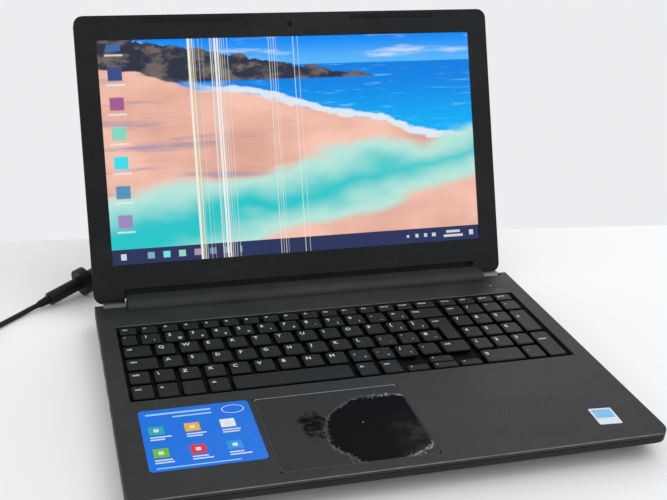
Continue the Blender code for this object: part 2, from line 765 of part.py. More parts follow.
def make_bottom_case(look, frame):
    """Make the tray of the base with its bosses, bays and wall openings."""
    case = add_piece("bottom_case", case_body(CASE_TOP), look["case"], frame)
    cavity = case_body(CASE_TOP, CASE_WALL, CASE_REAR_WALL, FLOOR_TOP, DECK_THICKNESS)
    cut(case, cavity)
    for sign in (-1, 1):
        cut(case, rear_rounding(sign))
    for sign in (-1, 1):
        low, high = span(sign, NOTCH_INNER - CASE_WALL, NOTCH_OUTER + CASE_WALL)
        front = HINGE_Y - NOTCH_FRONT - CASE_WALL
        rear = BASE_DEPTH - CASE_REAR_WALL + CASE_WALL / 2
        join(case, box((low, front, -(NOTCH_DEPTH + CASE_WALL)), (high, rear, CASE_TOP)))
        low, high = leaf_span(sign, 3 * MM)
        boss_top = HINGE_Z - LEAF_THICKNESS / 2 - GAP
        front = leaf_front() + 3 * MM
        join(case, box((low, front, FLOOR_TOP - GAP), (high, leaf_rear() - 3 * MM, boss_top)))
    for x, y in STANDOFFS:
        top = -(BOARD_TOP + BOARD_THICKNESS + GAP)
        join(case, rod((x, y, FLOOR_TOP - GAP), (x, y, top), STANDOFF_RADIUS, 12))
    for sign in (-1, 1):
        cut(case, notch(sign))
        near = NOTCH_INNER - CASE_REAR_WALL - LEAF_LENGTH
        cut(case, pin_bore(sign, HINGE_PIN_RADIUS + GAP, near, NOTCH_INNER + CASE_WALL))
    reach = CASE_WALL + SIDE_TAPER
    for spec in PORTS.values():
        cut(case, port_box(spec, GAP, reach))
    cut(case, jack_box(GAP, reach), inlet_box(GAP, CASE_REAR_WALL))
    cut(case, tray_bezel_box(BAY_CLEARANCE, BAY_CLEARANCE))
    pitch = VENT_LENGTH / VENT_BARS
    slots = []
    for index in range(VENT_BARS):
        near = VENT_FRONT + index * pitch
        low = (-BASE_WIDTH, near, -(VENT_TOP + VENT_HEIGHT))
        slots.append(box(low, (-BASE_WIDTH / 2 + reach, near + VENT_SLOT, -VENT_TOP)))
    cut(case, merged(slots))
    cut(case, battery_box(BAY_CLEARANCE, FOOT_HEIGHT, 0.0))
    half = KNOB_WIDTH / 2
    near = knob_front() - BAY_CLEARANCE
    low = (-half - BAY_CLEARANCE, near, -2 * BASE_HEIGHT)
    high = (half + LATCH_TRAVEL + BAY_CLEARANCE, near + KNOB_LENGTH + 2 * BAY_CLEARANCE, FLOOR_TOP + MM)
    cut(case, box(low, high))
    return case


def battery_box(grow, below, above):
    """Return the battery's block, grown by a clearance."""
    half = BATTERY_WIDTH / 2 + grow
    low = (-half, BATTERY_FRONT - grow, -BASE_HEIGHT - below)
    return box(low, (half, BATTERY_FRONT + BATTERY_LENGTH + grow, -BATTERY_TOP + above))


def knob_front():
    """Return the front of the battery latch's knob."""
    return BATTERY_FRONT - LATCH_LENGTH + KNOB_LENGTH / 2


def make_battery(look, frame):
    """Make the battery and the sprung latch that holds it."""
    bottom = FLOOR_TOP + GAP
    top = bottom + LATCH_THICKNESS
    pack = add_piece("battery_pack", battery_box(0.0, 0.0, 0.0), look["case"], frame)
    half = LATCH_TONGUE / 2
    groove_rear = BATTERY_FRONT + LATCH_REACH + GAP
    low = (-half - BAY_CLEARANCE, BATTERY_FRONT - MM, bottom - BAY_CLEARANCE)
    cut(pack, box(low, (half + LATCH_TRAVEL + BAY_CLEARANCE, groove_rear, top + BAY_CLEARANCE)))
    rear = BATTERY_FRONT - 2 * MM
    front = BATTERY_FRONT - LATCH_LENGTH
    origin = (0.0, (front + rear) / 2, bottom)
    slider = box((-LATCH_WIDTH / 2, front, bottom), (LATCH_WIDTH / 2, rear, top))
    latch = add_piece("battery_latch", slider, look["port"], frame, origin)
    join(latch, box((-half, rear - MM, bottom), (half, BATTERY_FRONT + LATCH_REACH, top)))
    near = knob_front()
    knob_low = (-KNOB_WIDTH / 2, near, -BASE_HEIGHT)
    join(latch, box(knob_low, (KNOB_WIDTH / 2, near + KNOB_LENGTH, top - LATCH_THICKNESS / 2)))


def make_board(look, frame):
    """Make the main board and the memory module on it."""
    top = -BOARD_TOP
    bottom = top - BOARD_THICKNESS
    low = (BOARD_LEFT, BOARD_FRONT, bottom)
    board = add_piece("main_board", box(low, (BOARD_RIGHT, BOARD_REAR, top)), look["board"], frame)
    strip_rear = PORTS["ethernet_port"][1] + PORTS["ethernet_port"][2] / 2
    join(board, box((BOARD_LEFT, BOARD_REAR - MM, bottom), (BOARD_LEFT + BOARD_STRIP, strip_rear, top)))
    low = (FAN_LEFT - 2 * MM, FAN_FRONT - 2 * MM, bottom - MM)
    cut(board, box(low, (FAN_LEFT + FAN_SIZE + 2 * MM, BOARD_REAR + MM, top + MM)))
    low = (MEMORY_LEFT, MEMORY_FRONT, top + GAP)
    high = (MEMORY_LEFT + MEMORY_WIDTH, MEMORY_FRONT + MEMORY_LENGTH, top + GAP + MEMORY_THICKNESS)
    add_piece("memory_module", box(low, high), look["board"], frame)


def make_cooling(look, frame):
    """Make the fan housing, its rotor and the heatsink with its pipe and fins."""
    right = FAN_LEFT + FAN_SIZE
    rear = FAN_FRONT + FAN_SIZE
    centre = (FAN_LEFT + FAN_SIZE / 2, FAN_FRONT + FAN_SIZE / 2)
    bottom = -(FAN_TOP + FAN_HEIGHT)
    low = (FAN_LEFT, FAN_FRONT, bottom)
    housing = add_piece("fan_housing", box(low, (right, rear, -FAN_TOP)), look["port"], frame)
    bore = ROTOR_RADIUS + 2 * MM
    floor = bottom + FAN_WALL
    cut(housing, rod((*centre, floor), (*centre, MM), bore, 32))
    low = (FAN_LEFT - MM, VENT_FRONT, floor)
    cut(housing, box(low, (centre[0], rear - 2 * FAN_WALL, MM)))
    join(housing, rod((*centre, bottom + FAN_WALL / 2), (*centre, -FAN_TOP - FAN_WALL), FAN_PIN, 12))
    rotor_bottom = floor + GAP
    rotor_top = -(FAN_TOP + FAN_WALL)
    hub = rod((*centre, rotor_bottom), (*centre, rotor_top), ROTOR_HUB, 24)
    rotor = add_piece("fan_rotor", hub, look["port"], frame, (*centre, rotor_bottom))
    for index in range(ROTOR_BLADES):
        blade = box((ROTOR_HUB - MM, -BLADE_THICKNESS / 2, rotor_bottom + MM),
                    (ROTOR_RADIUS, BLADE_THICKNESS / 2, rotor_top - MM))
        turn = Matrix.Rotation(2 * math.pi * index / ROTOR_BLADES, 4, "Z")
        blade.transform(Matrix.Translation((*centre, 0.0)) @ turn)
        join(rotor, blade)
    cut(rotor, rod((*centre, rotor_bottom - MM), (*centre, rotor_top + MM), FAN_PIN + GAP, 12))
    fin_right = FAN_LEFT - PIPE_WIDTH - 2 * GAP
    fin_left = fin_right - FIN_DEPTH
    block = box((fin_left, VENT_FRONT - MM, -(VENT_TOP + VENT_HEIGHT)),
                (fin_right, VENT_FRONT + VENT_LENGTH, -VENT_TOP))
    sink = add_piece("heatsink", block, look["metal"], frame)
    pitch = VENT_LENGTH / VENT_BARS
    gaps = []
    for index in range(VENT_BARS):
        near = VENT_FRONT + index * pitch
        gap_low = (fin_left - MM, near, -(VENT_TOP + VENT_HEIGHT) - MM)
        gaps.append(box(gap_low, (fin_right - MM, near + VENT_SLOT, -VENT_TOP - MM)))
    cut(sink, merged(gaps))
    pipe_left = fin_right - MM
    pipe_right = FAN_LEFT - GAP
    pipe_front = COLD_PLATE_Y + COLD_PLATE
    level = -VENT_TOP
    join(sink, box((pipe_left, pipe_front - PIPE_WIDTH, level - PIPE_HEIGHT),
                   (pipe_right, VENT_FRONT + VENT_LENGTH, level)))
    join(sink, box((pipe_left + MM, pipe_front - PIPE_WIDTH, level - PIPE_HEIGHT),
                   (COLD_PLATE_X + COLD_PLATE, pipe_front, level)))
    join(sink, box((COLD_PLATE_X, COLD_PLATE_Y, -BOARD_TOP + GAP),
                   (COLD_PLATE_X + COLD_PLATE, pipe_front - MM, level - MM)))


def make_drives(look, frame):
    """Make the hard drive, the optical drive, its tray and its eject button."""
    low = (DRIVE_LEFT, DRIVE_FRONT, FLOOR_TOP + GAP)
    high = (DRIVE_LEFT + DRIVE_WIDTH, DRIVE_FRONT + DRIVE_LENGTH, FLOOR_TOP + GAP + DRIVE_THICKNESS)
    add_piece("hard_drive", box(low, high), look["metal"], frame)
    rear = OPTICAL_FRONT + OPTICAL_LENGTH
    bottom = -(OPTICAL_TOP + OPTICAL_HEIGHT)
    face = BASE_WIDTH / 2 - TRAY_BEZEL - BAY_CLEARANCE
    shell = box((OPTICAL_LEFT, OPTICAL_FRONT, bottom), (face, rear, -OPTICAL_TOP))
    drive = add_piece("optical_drive", shell, look["metal"], frame)
    floor = bottom + OPTICAL_WALL
    low = (OPTICAL_LEFT + 2 * OPTICAL_WALL, OPTICAL_FRONT + OPTICAL_WALL, floor)
    cut(drive, box(low, (face + MM, rear - OPTICAL_WALL, -OPTICAL_TOP - OPTICAL_WALL)))
    tray_left = OPTICAL_LEFT + 2 * OPTICAL_WALL + TRAY_STOP
    side = OPTICAL_WALL + TRAY_SIDE
    tray_top = floor + GAP + TRAY_THICKNESS
    bezel = tray_bezel_box(0.0, 0.0)
    centre_y = OPTICAL_FRONT + OPTICAL_LENGTH / 2
    origin = (BASE_WIDTH / 2 - TRAY_BEZEL, centre_y, floor)
    tray = add_piece("disc_tray", bezel, look["deck"], frame, origin)
    combine(tray, case_body(CASE_TOP), "INTERSECT")
    slab_right = BASE_WIDTH / 2 - TRAY_BEZEL + MM
    join(tray, box((tray_left, OPTICAL_FRONT + side, floor + GAP), (slab_right, rear - side, tray_top)))
    disc_x = (tray_left + BASE_WIDTH / 2 - TRAY_BEZEL) / 2
    cut(tray, rod((disc_x, centre_y, tray_top - DISC_DEPTH), (disc_x, centre_y, tray_top + MM), DISC_RADIUS, 40))
    middle = (floor + tray_top) / 2
    cut(tray, eject_block(middle, GAP, EJECT_TRAVEL + GAP))
    origin = (BASE_WIDTH / 2 - EJECT_DEPTH, eject_y(), middle)
    button = add_piece("eject_button", eject_block(middle, 0.0, 0.0), look["gloss"], frame, origin)
    combine(button, case_body(CASE_TOP), "INTERSECT")


def eject_y():
    """Return how far back the middle of the eject button lies."""
    return OPTICAL_FRONT + OPTICAL_LENGTH / 3


def eject_block(level, grow, deeper):
    """Return the eject button's block at one level, or its hole when grown."""
    half_y = EJECT_WIDTH / 2 + grow
    half_z = EJECT_HEIGHT / 2 + grow
    low = (BASE_WIDTH / 2 - EJECT_DEPTH - deeper, eject_y() - half_y, level - half_z)
    return box(low, (BASE_WIDTH / 2 + MM, eject_y() + half_y, level + half_z))


def make_speakers_and_feet(look, frame):
    """Make the two speakers on the floor and the four feet under it."""
    for name, middle in SPEAKERS.items():
        low = (middle - SPEAKER_WIDTH / 2, SPEAKER_FRONT, FLOOR_TOP + GAP)
        high = (middle + SPEAKER_WIDTH / 2, SPEAKER_FRONT + SPEAKER_LENGTH, FLOOR_TOP + GAP + SPEAKER_HEIGHT)
        add_piece(name, box(low, high), look["port"], frame)
    for side, sign in (("left", -1), ("right", 1)):
        for end, y in (("front", FOOT_INSET_FRONT), ("rear", BASE_DEPTH - FOOT_INSET_REAR)):
            x = sign * (BASE_WIDTH / 2 - FOOT_INSET_X)
            foot = rod((x, y, -DECK_HEIGHT), (x, y, -BASE_HEIGHT - GAP), FOOT_RADIUS, 24)
            add_piece(f"foot_{end}_{side}", foot, look["rubber"], frame)


def leaf_span(sign, inset):
    """Return the low and high x of a hinge leaf, moved in at both ends."""
    far = NOTCH_INNER - CASE_WALL - GAP
    return span(sign, far - LEAF_LENGTH + inset, far - inset)


def leaf_rear():
    """Return the rear of the hinge leaves, in front of the thick rear wall."""
    return BASE_DEPTH - CASE_REAR_WALL - GAP


def leaf_front():
    """Return the front of the hinge leaves."""
    return leaf_rear() - LEAF_FORWARD


def make_hinge(look, frame, lid):
    """Make the base's leaves with their pins, and the lid's arms with their barrels."""
    bore_depth = BARREL_LENGTH / 2

    def make_side(name, sign):
        low, high = leaf_span(sign, 0.0)
        half = LEAF_THICKNESS / 2
        block = box((low, leaf_front(), HINGE_Z - half), (high, leaf_rear(), HINGE_Z + half))
        leaf = add_piece(f"hinge_leaf_{name}", block, look["metal"], frame)
        near = NOTCH_INNER - CASE_WALL - GAP - LEAF_LENGTH
        join(leaf, pin_bore(sign, HINGE_PIN_RADIUS, near, BARREL_INNER + bore_depth - GAP))
        low, high = span(sign, BARREL_INNER, BARREL_OUTER)
        barrel = rod((low, 0.0, 0.0), (high, 0.0, 0.0), BARREL_RADIUS, 28)
        arm = add_piece(f"hinge_arm_{name}", barrel, look["barrel"], lid)
        back = COVER_INSIDE - GAP
        join(arm, box((low, 0.0, 0.0), (high, back, LID_FOOT - GAP)))
        join(arm, box((low, COVER_FRONT, LID_FOOT / 2), (high, back, LID_BROW - SEAM)))
        join(arm, box((low, back - ARM_THICKNESS, LID_BROW / 2), (high, back, ARM_HEIGHT)))
        bore_low, bore_high = span(sign, BARREL_INNER - MM, BARREL_INNER + bore_depth)
        cut(arm, rod((bore_low, 0, 0), (bore_high, 0, 0), HINGE_PIN_RADIUS + GAP, 16))

    both_sides(make_side)


def make_lid(look, lid):
    """Make the lid's cover, bezel, panel, webcam and bumpers in the hinge's frame."""
    half = LID_WIDTH / 2
    top = LID_LENGTH
    open_half = NOTCH_INNER + NOTCH_CLEARANCE / 2
    cover = add_piece("lid_cover", rounded_box(
        (-half, COVER_FRONT, LID_FOOT), (half, LID_BACK, top), LID_CORNER, 1), look["case"], lid)
    inner = half - COVER_WALL
    cut(cover, rounded_box(
        (-inner, COVER_FRONT - MM, LID_BROW + COVER_WALL), (inner, COVER_INSIDE, top - COVER_WALL),
        LID_CORNER - COVER_WALL, 1))
    cut(cover, box((-open_half, COVER_FRONT - MM, 0.0), (open_half, COVER_INSIDE, LID_BROW)))
    cut(cover, box((-open_half, COVER_FRONT, 0.0), (open_half, LID_BACK + MM, LIP_BOTTOM)))
    for sign in (-1, 1):
        low, high = span(sign, open_half, BARREL_OUTER + GAP)
        cut(cover, box((low, COVER_FRONT - MM, 0.0), (high, COVER_INSIDE, LID_BROW + COVER_WALL + MM)))
    bezel = add_piece("screen_bezel", rounded_box(
        (-half, BEZEL_FACE, LID_FOOT), (half, BEZEL_BACK, top), LID_CORNER, 1), look["bezel"], lid)
    cut(bezel, box((-open_half, 0.0, 0.0), (open_half, LID_BACK, LID_BROW)))
    screen_top = SCREEN_BOTTOM + SCREEN_HEIGHT
    wide = SCREEN_WIDTH / 2
    cut(bezel, box((-wide, 0.0, SCREEN_BOTTOM), (wide, LID_BACK, screen_top)))
    lens_radius = 2.2 * MM
    cut(bezel, rod((0, 0, WEBCAM_HEIGHT), (0, LID_BACK, WEBCAM_HEIGHT), lens_radius + GAP, 16))
    for name, (left, right) in BUMPERS.items():
        low_z = BUMPER_HEIGHT - BUMPER_WIDTH / 2
        high_z = BUMPER_HEIGHT + BUMPER_WIDTH / 2
        recess = BEZEL_FACE + BUMPER_RECESS
        cut(bezel, box((left - GAP, 0.0, low_z - GAP), (right + GAP, recess, high_z + GAP)))
        strip = box((left, BEZEL_FACE - BUMPER_PROUD, low_z), (right, recess - GAP, high_z))
        add_piece(name, strip, look["rubber"], lid)
    panel_half = SCREEN_WIDTH / 2 + PANEL_MARGIN_SIDE
    panel_top = screen_top + PANEL_MARGIN_TOP
    low = (-panel_half, COVER_FRONT, SCREEN_BOTTOM - PANEL_MARGIN_BOTTOM)
    high = (panel_half, COVER_FRONT + PANEL_THICKNESS, panel_top)
    add_piece("lcd_panel", box(low, high), look["screen"], lid)
    camera_half = 14 * MM
    camera_height = 7 * MM
    low = (-camera_half, COVER_FRONT, panel_top + BAY_CLEARANCE)
    high = (camera_half, COVER_INSIDE - GAP, panel_top + BAY_CLEARANCE + camera_height)
    webcam = add_piece("webcam", box(low, high), look["gloss"], lid)
    join(webcam, rod((0, BEZEL_FACE + GAP, WEBCAM_HEIGHT), (0, COVER_FRONT + SEAM, WEBCAM_HEIGHT), lens_radius, 16))


# Charger lead, in the frame of the base
PLUG_LENGTH = 24 * MM
PLUG_RADIUS = 3.5 * MM
PLUG_TIP_RADIUS = 2.4 * MM
PLUG_RELIEF = 14 * MM
TAIL_RADIUS = 2 * MM
LEAD_RADIUS = 2.25 * MM
SOCKET_PLACE = Vector((-197 * MM, 320 * MM, -8 * MM))
GRIP_END = Vector((-231 * MM, 301.1 * MM, -15.2 * MM))
FLANGE_RADIUS = 12.5 * MM
FLANGE_LENGTH = 8 * MM
SOCKET_RADIUS = 7 * MM
SOCKET_LENGTH = 14 * MM
GRIP_RADIUS = 6 * MM
GRIP_LENGTH = 32 * MM
RELIEF_LENGTH = 12 * MM
RELIEF_RADIUS = 4 * MM
RELIEF_RIBS = 4
SOCKET_RELIEF = 10 * MM
COIL_CENTRE = (-321 * MM, 275 * MM)
COIL_RADIUS = 27 * MM
COIL_ACROSS = 3
COIL_HIGH = 3
BRICK_X = -357.6 * MM
BRICK_FRONT = 324 * MM
BRICK_WIDTH = 40 * MM
BRICK_LENGTH = 94 * MM
BRICK_HEIGHT = 26.5 * MM
BRICK_ROUNDING = 4 * MM
BRICK_RELIEF = 20 * MM
MAINS_WIDTH = 12 * MM
MAINS_HEIGHT = 6.4 * MM
MAINS_DEPTH = 11 * MM
TAIL_ROUTE = (
    (-163, 338.4, -2.7), (-152, 339.8, -5.5), (-141, 335, -10.5), (-133, 324, -14), (-129.3, 310, -15),
)
LEAD_ROUTE = (
    (-246, 292.7, -18.1), (-258, 283, -19.1), (-270.8, 271.2, -19.1), (-284, 258.3, -19.1),
    (-298, 246.2, -19.1), (-310, 239.6, -19.1),
)
LEAD_END_ROUTE = ((-357.9, 272, -19.1), (-357.7, 288, -18.6), (-357.6, 303.5, -17.5))


def socket_axis():
    """Return the direction from the grip's end to the flange."""
    return (SOCKET_PLACE - GRIP_END).normalized()


def along(distance):
    """Return a point on the axis of the socket and the charger plug."""
    return SOCKET_PLACE + socket_axis() * distance


def smooth_points(route, spacing):
    """Return evenly spaced points on the smooth curve through a route."""
    places = [Vector(point) for point in route]
    before = places[0] * 2 - places[1]
    after = places[-1] * 2 - places[-2]
    places = [before, *places, after]
    fine = []
    for index in range(1, len(places) - 2):
        p0, p1, p2, p3 = places[index - 1:index + 3]
        for step in range(20):
            t = step / 20
            fine.append(0.5 * (2 * p1 + (p2 - p0) * t + (2 * p0 - 5 * p1 + 4 * p2 - p3) * t ** 2
                               + (3 * p1 - p0 - 3 * p2 + p3) * t ** 3))
    fine.append(places[-2])
    line = np.array([tuple(point) for point in fine])
    steps = np.linalg.norm(np.diff(line, axis=0), axis=1)
    travelled = np.concatenate([[0.0], np.cumsum(steps)])
    count = max(3, round(travelled[-1] / spacing) + 1)
    wanted = np.linspace(0.0, travelled[-1], count)
    return np.stack([np.interp(wanted, travelled, line[:, axis]) for axis in range(3)], axis=1)


def add_tube(name, points, radius, finish_material, parent):
    """Add a cord as a polyline curve with a round bevel and filled caps."""
    data = bpy.data.curves.new(name, "CURVE")
    data.dimensions = "3D"
    data.bevel_depth = radius
    data.bevel_resolution = 2
    data.use_fill_caps = True
    spline = data.splines.new("POLY")
    spline.points.add(len(points) - 1)
    for point, place in zip(spline.points, points):
        point.co = (*place, 1.0)
    data.materials.append(finish_material)
    tube = bpy.data.objects.new(name, data)
    tube.parent = parent
    collection(PART_COLLECTION).objects.link(tube)
    return tube


def millimetres(route):
    """Return a route given in millimetres as points in metres."""
    return [Vector(point) * MM for point in route]


def turned(profile, sides, place):
    """Return a body turned about a vertical axis from radius and height pairs."""
    rings = []
    shape = bmesh.new()
    for index in range(sides):
        angle = 2 * math.pi * index / sides
        ring = [(radius * math.cos(angle), radius * math.sin(angle), height) for radius, height in profile]
        rings.append([shape.verts.new(point) for point in ring])
    count = len(profile)
    for index in range(sides):
        here = rings[index]
        there = rings[(index + 1) % sides]
        for corner in range(count):
            after = (corner + 1) % count
            shape.faces.new((here[corner], there[corner], there[after], here[after]))
    bmesh.ops.translate(shape, vec=place, verts=shape.verts)
    shape.normal_update()
    bmesh.ops.triangulate(shape, faces=shape.faces)
    return finish(shape)


def make_tail(look, frame):
    """Make the plug in the power inlet, its tail and the in-line socket with its flange."""
    start = inlet_face() + GAP
    level = inlet_level()
    end = start + PLUG_LENGTH
    body = rod((INLET_X, start, level), (INLET_X, end, level), PLUG_RADIUS)
    plug = add_piece("inlet_plug", body, look["cord"], frame)
    tip = rod((INLET_X, start - INLET_BORE_DEPTH + 2 * GAP, level), (INLET_X, start + MM, level), PLUG_TIP_RADIUS, 16)
    relief_end = end + PLUG_RELIEF
    relief = tapered_rod((INLET_X, end - MM, level), (INLET_X, relief_end, level), PLUG_RADIUS * 0.8, TAIL_RADIUS, 16)
    join(plug, tip, relief)
    socket = add_piece("inline_socket", rod(
        along(-FLANGE_LENGTH / 2), along(FLANGE_LENGTH / 2), FLANGE_RADIUS, 32), look["cord"], frame)
    back = FLANGE_LENGTH / 2 + SOCKET_LENGTH
    tail_end = back + SOCKET_RELIEF
    join(socket, rod(along(0.0), along(back), SOCKET_RADIUS, 24))
    join(socket, tapered_rod(along(back - MM), along(tail_end), SOCKET_RADIUS / 2, TAIL_RADIUS, 16))
    route = [along(tail_end + GAP), *millimetres(TAIL_ROUTE), Vector((INLET_X, relief_end + GAP, level))]
    add_tube("tail_lead", smooth_points(route, 5 * TAIL_RADIUS), TAIL_RADIUS, look["cord"], frame)


def make_charger_lead(look, frame):
    """Make the charger's plug, its lead with the coil, and the charger at the far end."""
    near = -FLANGE_LENGTH / 2 - GAP
    end = near - GRIP_LENGTH
    relief_end = end - RELIEF_LENGTH
    grip = add_piece("charger_plug", rod(along(end), along(near), GRIP_RADIUS, 24), look["cord"], frame)
    join(grip, tapered_rod(along(relief_end), along(end + MM), LEAD_RADIUS * 1.15, RELIEF_RADIUS * 0.8, 16))
    pitch = RELIEF_LENGTH / (RELIEF_RIBS + 1)
    for index in range(RELIEF_RIBS):
        place = end - pitch * (index + 0.7)
        radius = RELIEF_RADIUS - index * (RELIEF_RADIUS - LEAD_RADIUS) / (2 * RELIEF_RIBS)
        join(grip, rod(along(place - pitch / 2), along(place), radius, 16))
    route = [along(relief_end - GAP), *millimetres(LEAD_ROUTE)]
    add_tube("charger_lead", smooth_points(route, 5 * LEAD_RADIUS), LEAD_RADIUS, look["cord"], frame)
    half = COIL_ACROSS * LEAD_RADIUS
    inner = COIL_RADIUS - half
    outer = COIL_RADIUS + half
    height = COIL_HIGH * 2 * LEAD_RADIUS
    ring = turned([(inner, 0), (outer, 0), (outer, height), (inner, height)], 32, (*COIL_CENTRE, -DECK_HEIGHT))
    add_piece("lead_coil", ring, look["cord"], frame)
    add_tube("lead_end", smooth_points(millimetres(LEAD_END_ROUTE), 5 * LEAD_RADIUS), LEAD_RADIUS, look["cord"], frame)
    left = BRICK_X - BRICK_WIDTH / 2
    rear = BRICK_FRONT + BRICK_LENGTH
    low = (left, BRICK_FRONT, -DECK_HEIGHT)
    shape = rounded_box(low, (left + BRICK_WIDTH, rear, BRICK_HEIGHT - DECK_HEIGHT), BRICK_ROUNDING, 1, 3)
    brick = add_piece("charger_brick", shape, look["cord"], frame)
    level = -17.5 * MM
    join(brick, tapered_rod(
        (BRICK_X, BRICK_FRONT - BRICK_RELIEF + GAP, level), (BRICK_X, BRICK_FRONT + MM, level),
        LEAD_RADIUS * 1.1, 1.6 * LEAD_RADIUS, 16))
    middle = -DECK_HEIGHT + BRICK_HEIGHT / 2
    cut(brick, rounded_box(
        (BRICK_X - MAINS_WIDTH / 2, rear - MAINS_DEPTH, middle - MAINS_HEIGHT / 2),
        (BRICK_X + MAINS_WIDTH / 2, rear + MM, middle + MAINS_HEIGHT / 2), MAINS_HEIGHT / 2 * 0.96, 1, 3))


def shade_round_pieces():
    """Smooth the turned pieces where their faces meet at a small angle."""
    for item in collection(PART_COLLECTION).objects:
        if item.type == "MESH":
            item.data.shade_smooth()
            item.data.set_sharp_from_angle(angle=math.radians(30))


def main():
    """Build the laptop."""
    clear_scene()
    look = {
        "case": material("case_plastic", (0.03, 0.03, 0.032), 0.55),
        "deck": material("deck_plastic", (0.035, 0.035, 0.037), 0.6),
        "bezel": material("bezel_plastic", (0.018, 0.019, 0.02), 0.35),
        "gloss": material("gloss_plastic", (0.01, 0.01, 0.011), 0.12),
        "keys": material("key_plastic", (0.012, 0.012, 0.013), 0.5),
        "pad": material("pad_plastic", (0.03, 0.03, 0.032), 0.45),
        "screen": material("screen_glass", (0.15, 0.35, 0.6), 0.3),
        "port": material("port_plastic", (0.02, 0.02, 0.022), 0.5),
        "metal": material("steel", (0.5, 0.5, 0.5), 0.35, 1.0),
        "barrel": material("barrel_finish", (0.09, 0.09, 0.095), 0.3, 0.5),
        "board": material("board_green", (0.02, 0.12, 0.05), 0.5),
        "rubber": material("rubber", (0.02, 0.02, 0.02), 0.8),
        "cord": material("cord_plastic", (0.015, 0.015, 0.016), 0.5),
    }
    frame = empty("base_frame", (0.0, -DEPTH_CENTRE, DECK_HEIGHT))
    lid = empty("lid_frame", (0.0, HINGE_Y, HINGE_Z), (-LID_LEAN, 0.0, 0.0), frame)
    make_bottom_case(look, frame)
    make_palm_rest(look, frame)
    make_keyboard(look, frame)
    make_touchpad(look, frame)
    make_power_button(look, frame)
    make_board(look, frame)
    make_cooling(look, frame)
    make_drives(look, frame)
    make_battery(look, frame)
    make_sockets(look, frame)
    make_speakers_and_feet(look, frame)
    make_hinge(look, frame, lid)
    make_lid(look, lid)
    make_tail(look, frame)
    make_charger_lead(look, frame)
    shade_round_pieces()


main()
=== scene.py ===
"""Looks of a damaged laptop on a table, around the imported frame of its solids.

The base frame has x from the middle of the base, y from its front edge to the back and z up
from the top of the deck, in millimetres. The lid frame lies on the hinge axis, with z up the
lid and y towards its back. Both are turned into the row frame, in metres, by a Frame.
"""
import json
import logging
import math
from dataclasses import dataclass, field
from enum import Enum
from typing import Union

import bpy
import numpy as np
from mathutils import Matrix, Vector


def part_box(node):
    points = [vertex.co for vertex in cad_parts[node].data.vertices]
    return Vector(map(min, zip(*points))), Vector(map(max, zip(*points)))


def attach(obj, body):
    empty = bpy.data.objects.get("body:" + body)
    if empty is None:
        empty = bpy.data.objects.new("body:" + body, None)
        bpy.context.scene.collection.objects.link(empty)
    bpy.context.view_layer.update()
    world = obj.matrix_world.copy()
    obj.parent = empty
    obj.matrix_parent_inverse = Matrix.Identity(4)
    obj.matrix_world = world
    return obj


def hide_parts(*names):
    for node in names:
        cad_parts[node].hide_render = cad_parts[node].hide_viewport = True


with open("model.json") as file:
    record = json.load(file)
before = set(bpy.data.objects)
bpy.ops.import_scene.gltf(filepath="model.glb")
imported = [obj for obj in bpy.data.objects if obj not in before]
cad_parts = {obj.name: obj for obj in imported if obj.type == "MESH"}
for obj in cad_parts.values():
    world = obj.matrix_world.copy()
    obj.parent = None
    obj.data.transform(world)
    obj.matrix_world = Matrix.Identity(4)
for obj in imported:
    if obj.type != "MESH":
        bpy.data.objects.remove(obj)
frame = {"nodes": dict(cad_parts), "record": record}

LOG = logging.getLogger("laptop")
MM = 0.001
DECK_HEIGHT = 21.5
LID_LEAN = 24.3
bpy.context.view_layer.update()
SMOOTH_ANGLE = 32.0
CASE_ROUNDING = 0.35
CASE_EDGE_ANGLE = 38.0
DUST_COLOR = (0.34, 0.33, 0.31)
PATCH_SCALE = 28.0
DARKEST = 0.8
LIGHTEST = 1.16
SMEAR_SCALES = (9.0, 26.0, 20.0)
SPECK_SCALE = 900.0
GRAIN_SCALE = 2600.0
GRAIN_DEPTH = 0.00006
# Painted shade: the black of the caps' skirts, which darkens the gaps between the caps.
SKIRT_SHADE_BLACK = (0.0008, 0.0008, 0.0008)
BOLD = 0.018

Socket = bpy.types.NodeSocket
Value = Union[Socket, float, tuple]


class Body(Enum):
    """The bodies that the added pieces ride on, apart from those of the moving caps."""

    BASE = "base"
    LID = "lid"
    TOUCHPAD = "touchpad"


class Slot(Enum):
    """The record's material slots, one named for each added piece."""

    KEYS = "keys"
    DECK = "deck"
    PAD = "pad"
    SCREEN = "screen"
    CORD = "cord"
    RUBBER = "rubber"
    PORT = "port"


class Row(Enum):
    """The rows of caps, each with its front and rear edge in the base frame."""

    FUNCTION = (204.5, 214.5)
    DIGIT = (187.5, 202.5)
    UPPER = (169.5, 185.0)
    HOME = (150.5, 166.0)
    LOWER = (131.5, 147.5)
    SPACE = (111.0, 128.5)
    ARROW = (110.5, 118.0)
    ARROW_HIGH = (119.0, 127.0)


@dataclass(frozen=True)
class Frame:
    """A local frame whose points are given in millimetres.

    Args:
        matrix: the place and turn of the frame in the row frame, in metres.
    """

    matrix: Matrix

    def point(self, x: float, y: float, z: float) -> Vector:
        """Return a local point in the row frame."""
        return self.matrix @ Vector((x * MM, y * MM, z * MM))

    def across(self, x: float) -> float:
        """Return a local x in the row frame, for a frame that isn't turned."""
        return self.point(x, 0.0, 0.0).x

    def deep(self, y: float) -> float:
        """Return a local y in the row frame, for a frame that isn't turned."""
        return self.point(0.0, y, 0.0).y

    def points(self, array: np.ndarray) -> np.ndarray:
        """Return local points, one per row, in the row frame."""
        turn = np.array(self.matrix.to_3x3())
        return array * MM @ turn.T + np.array(self.matrix.translation)


def base_frame() -> Frame:
    """Return the base's frame, from the front of its tray."""
    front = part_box("bottom_case")[0][1]
    return Frame(Matrix.Translation((0.0, front, DECK_HEIGHT * MM)))


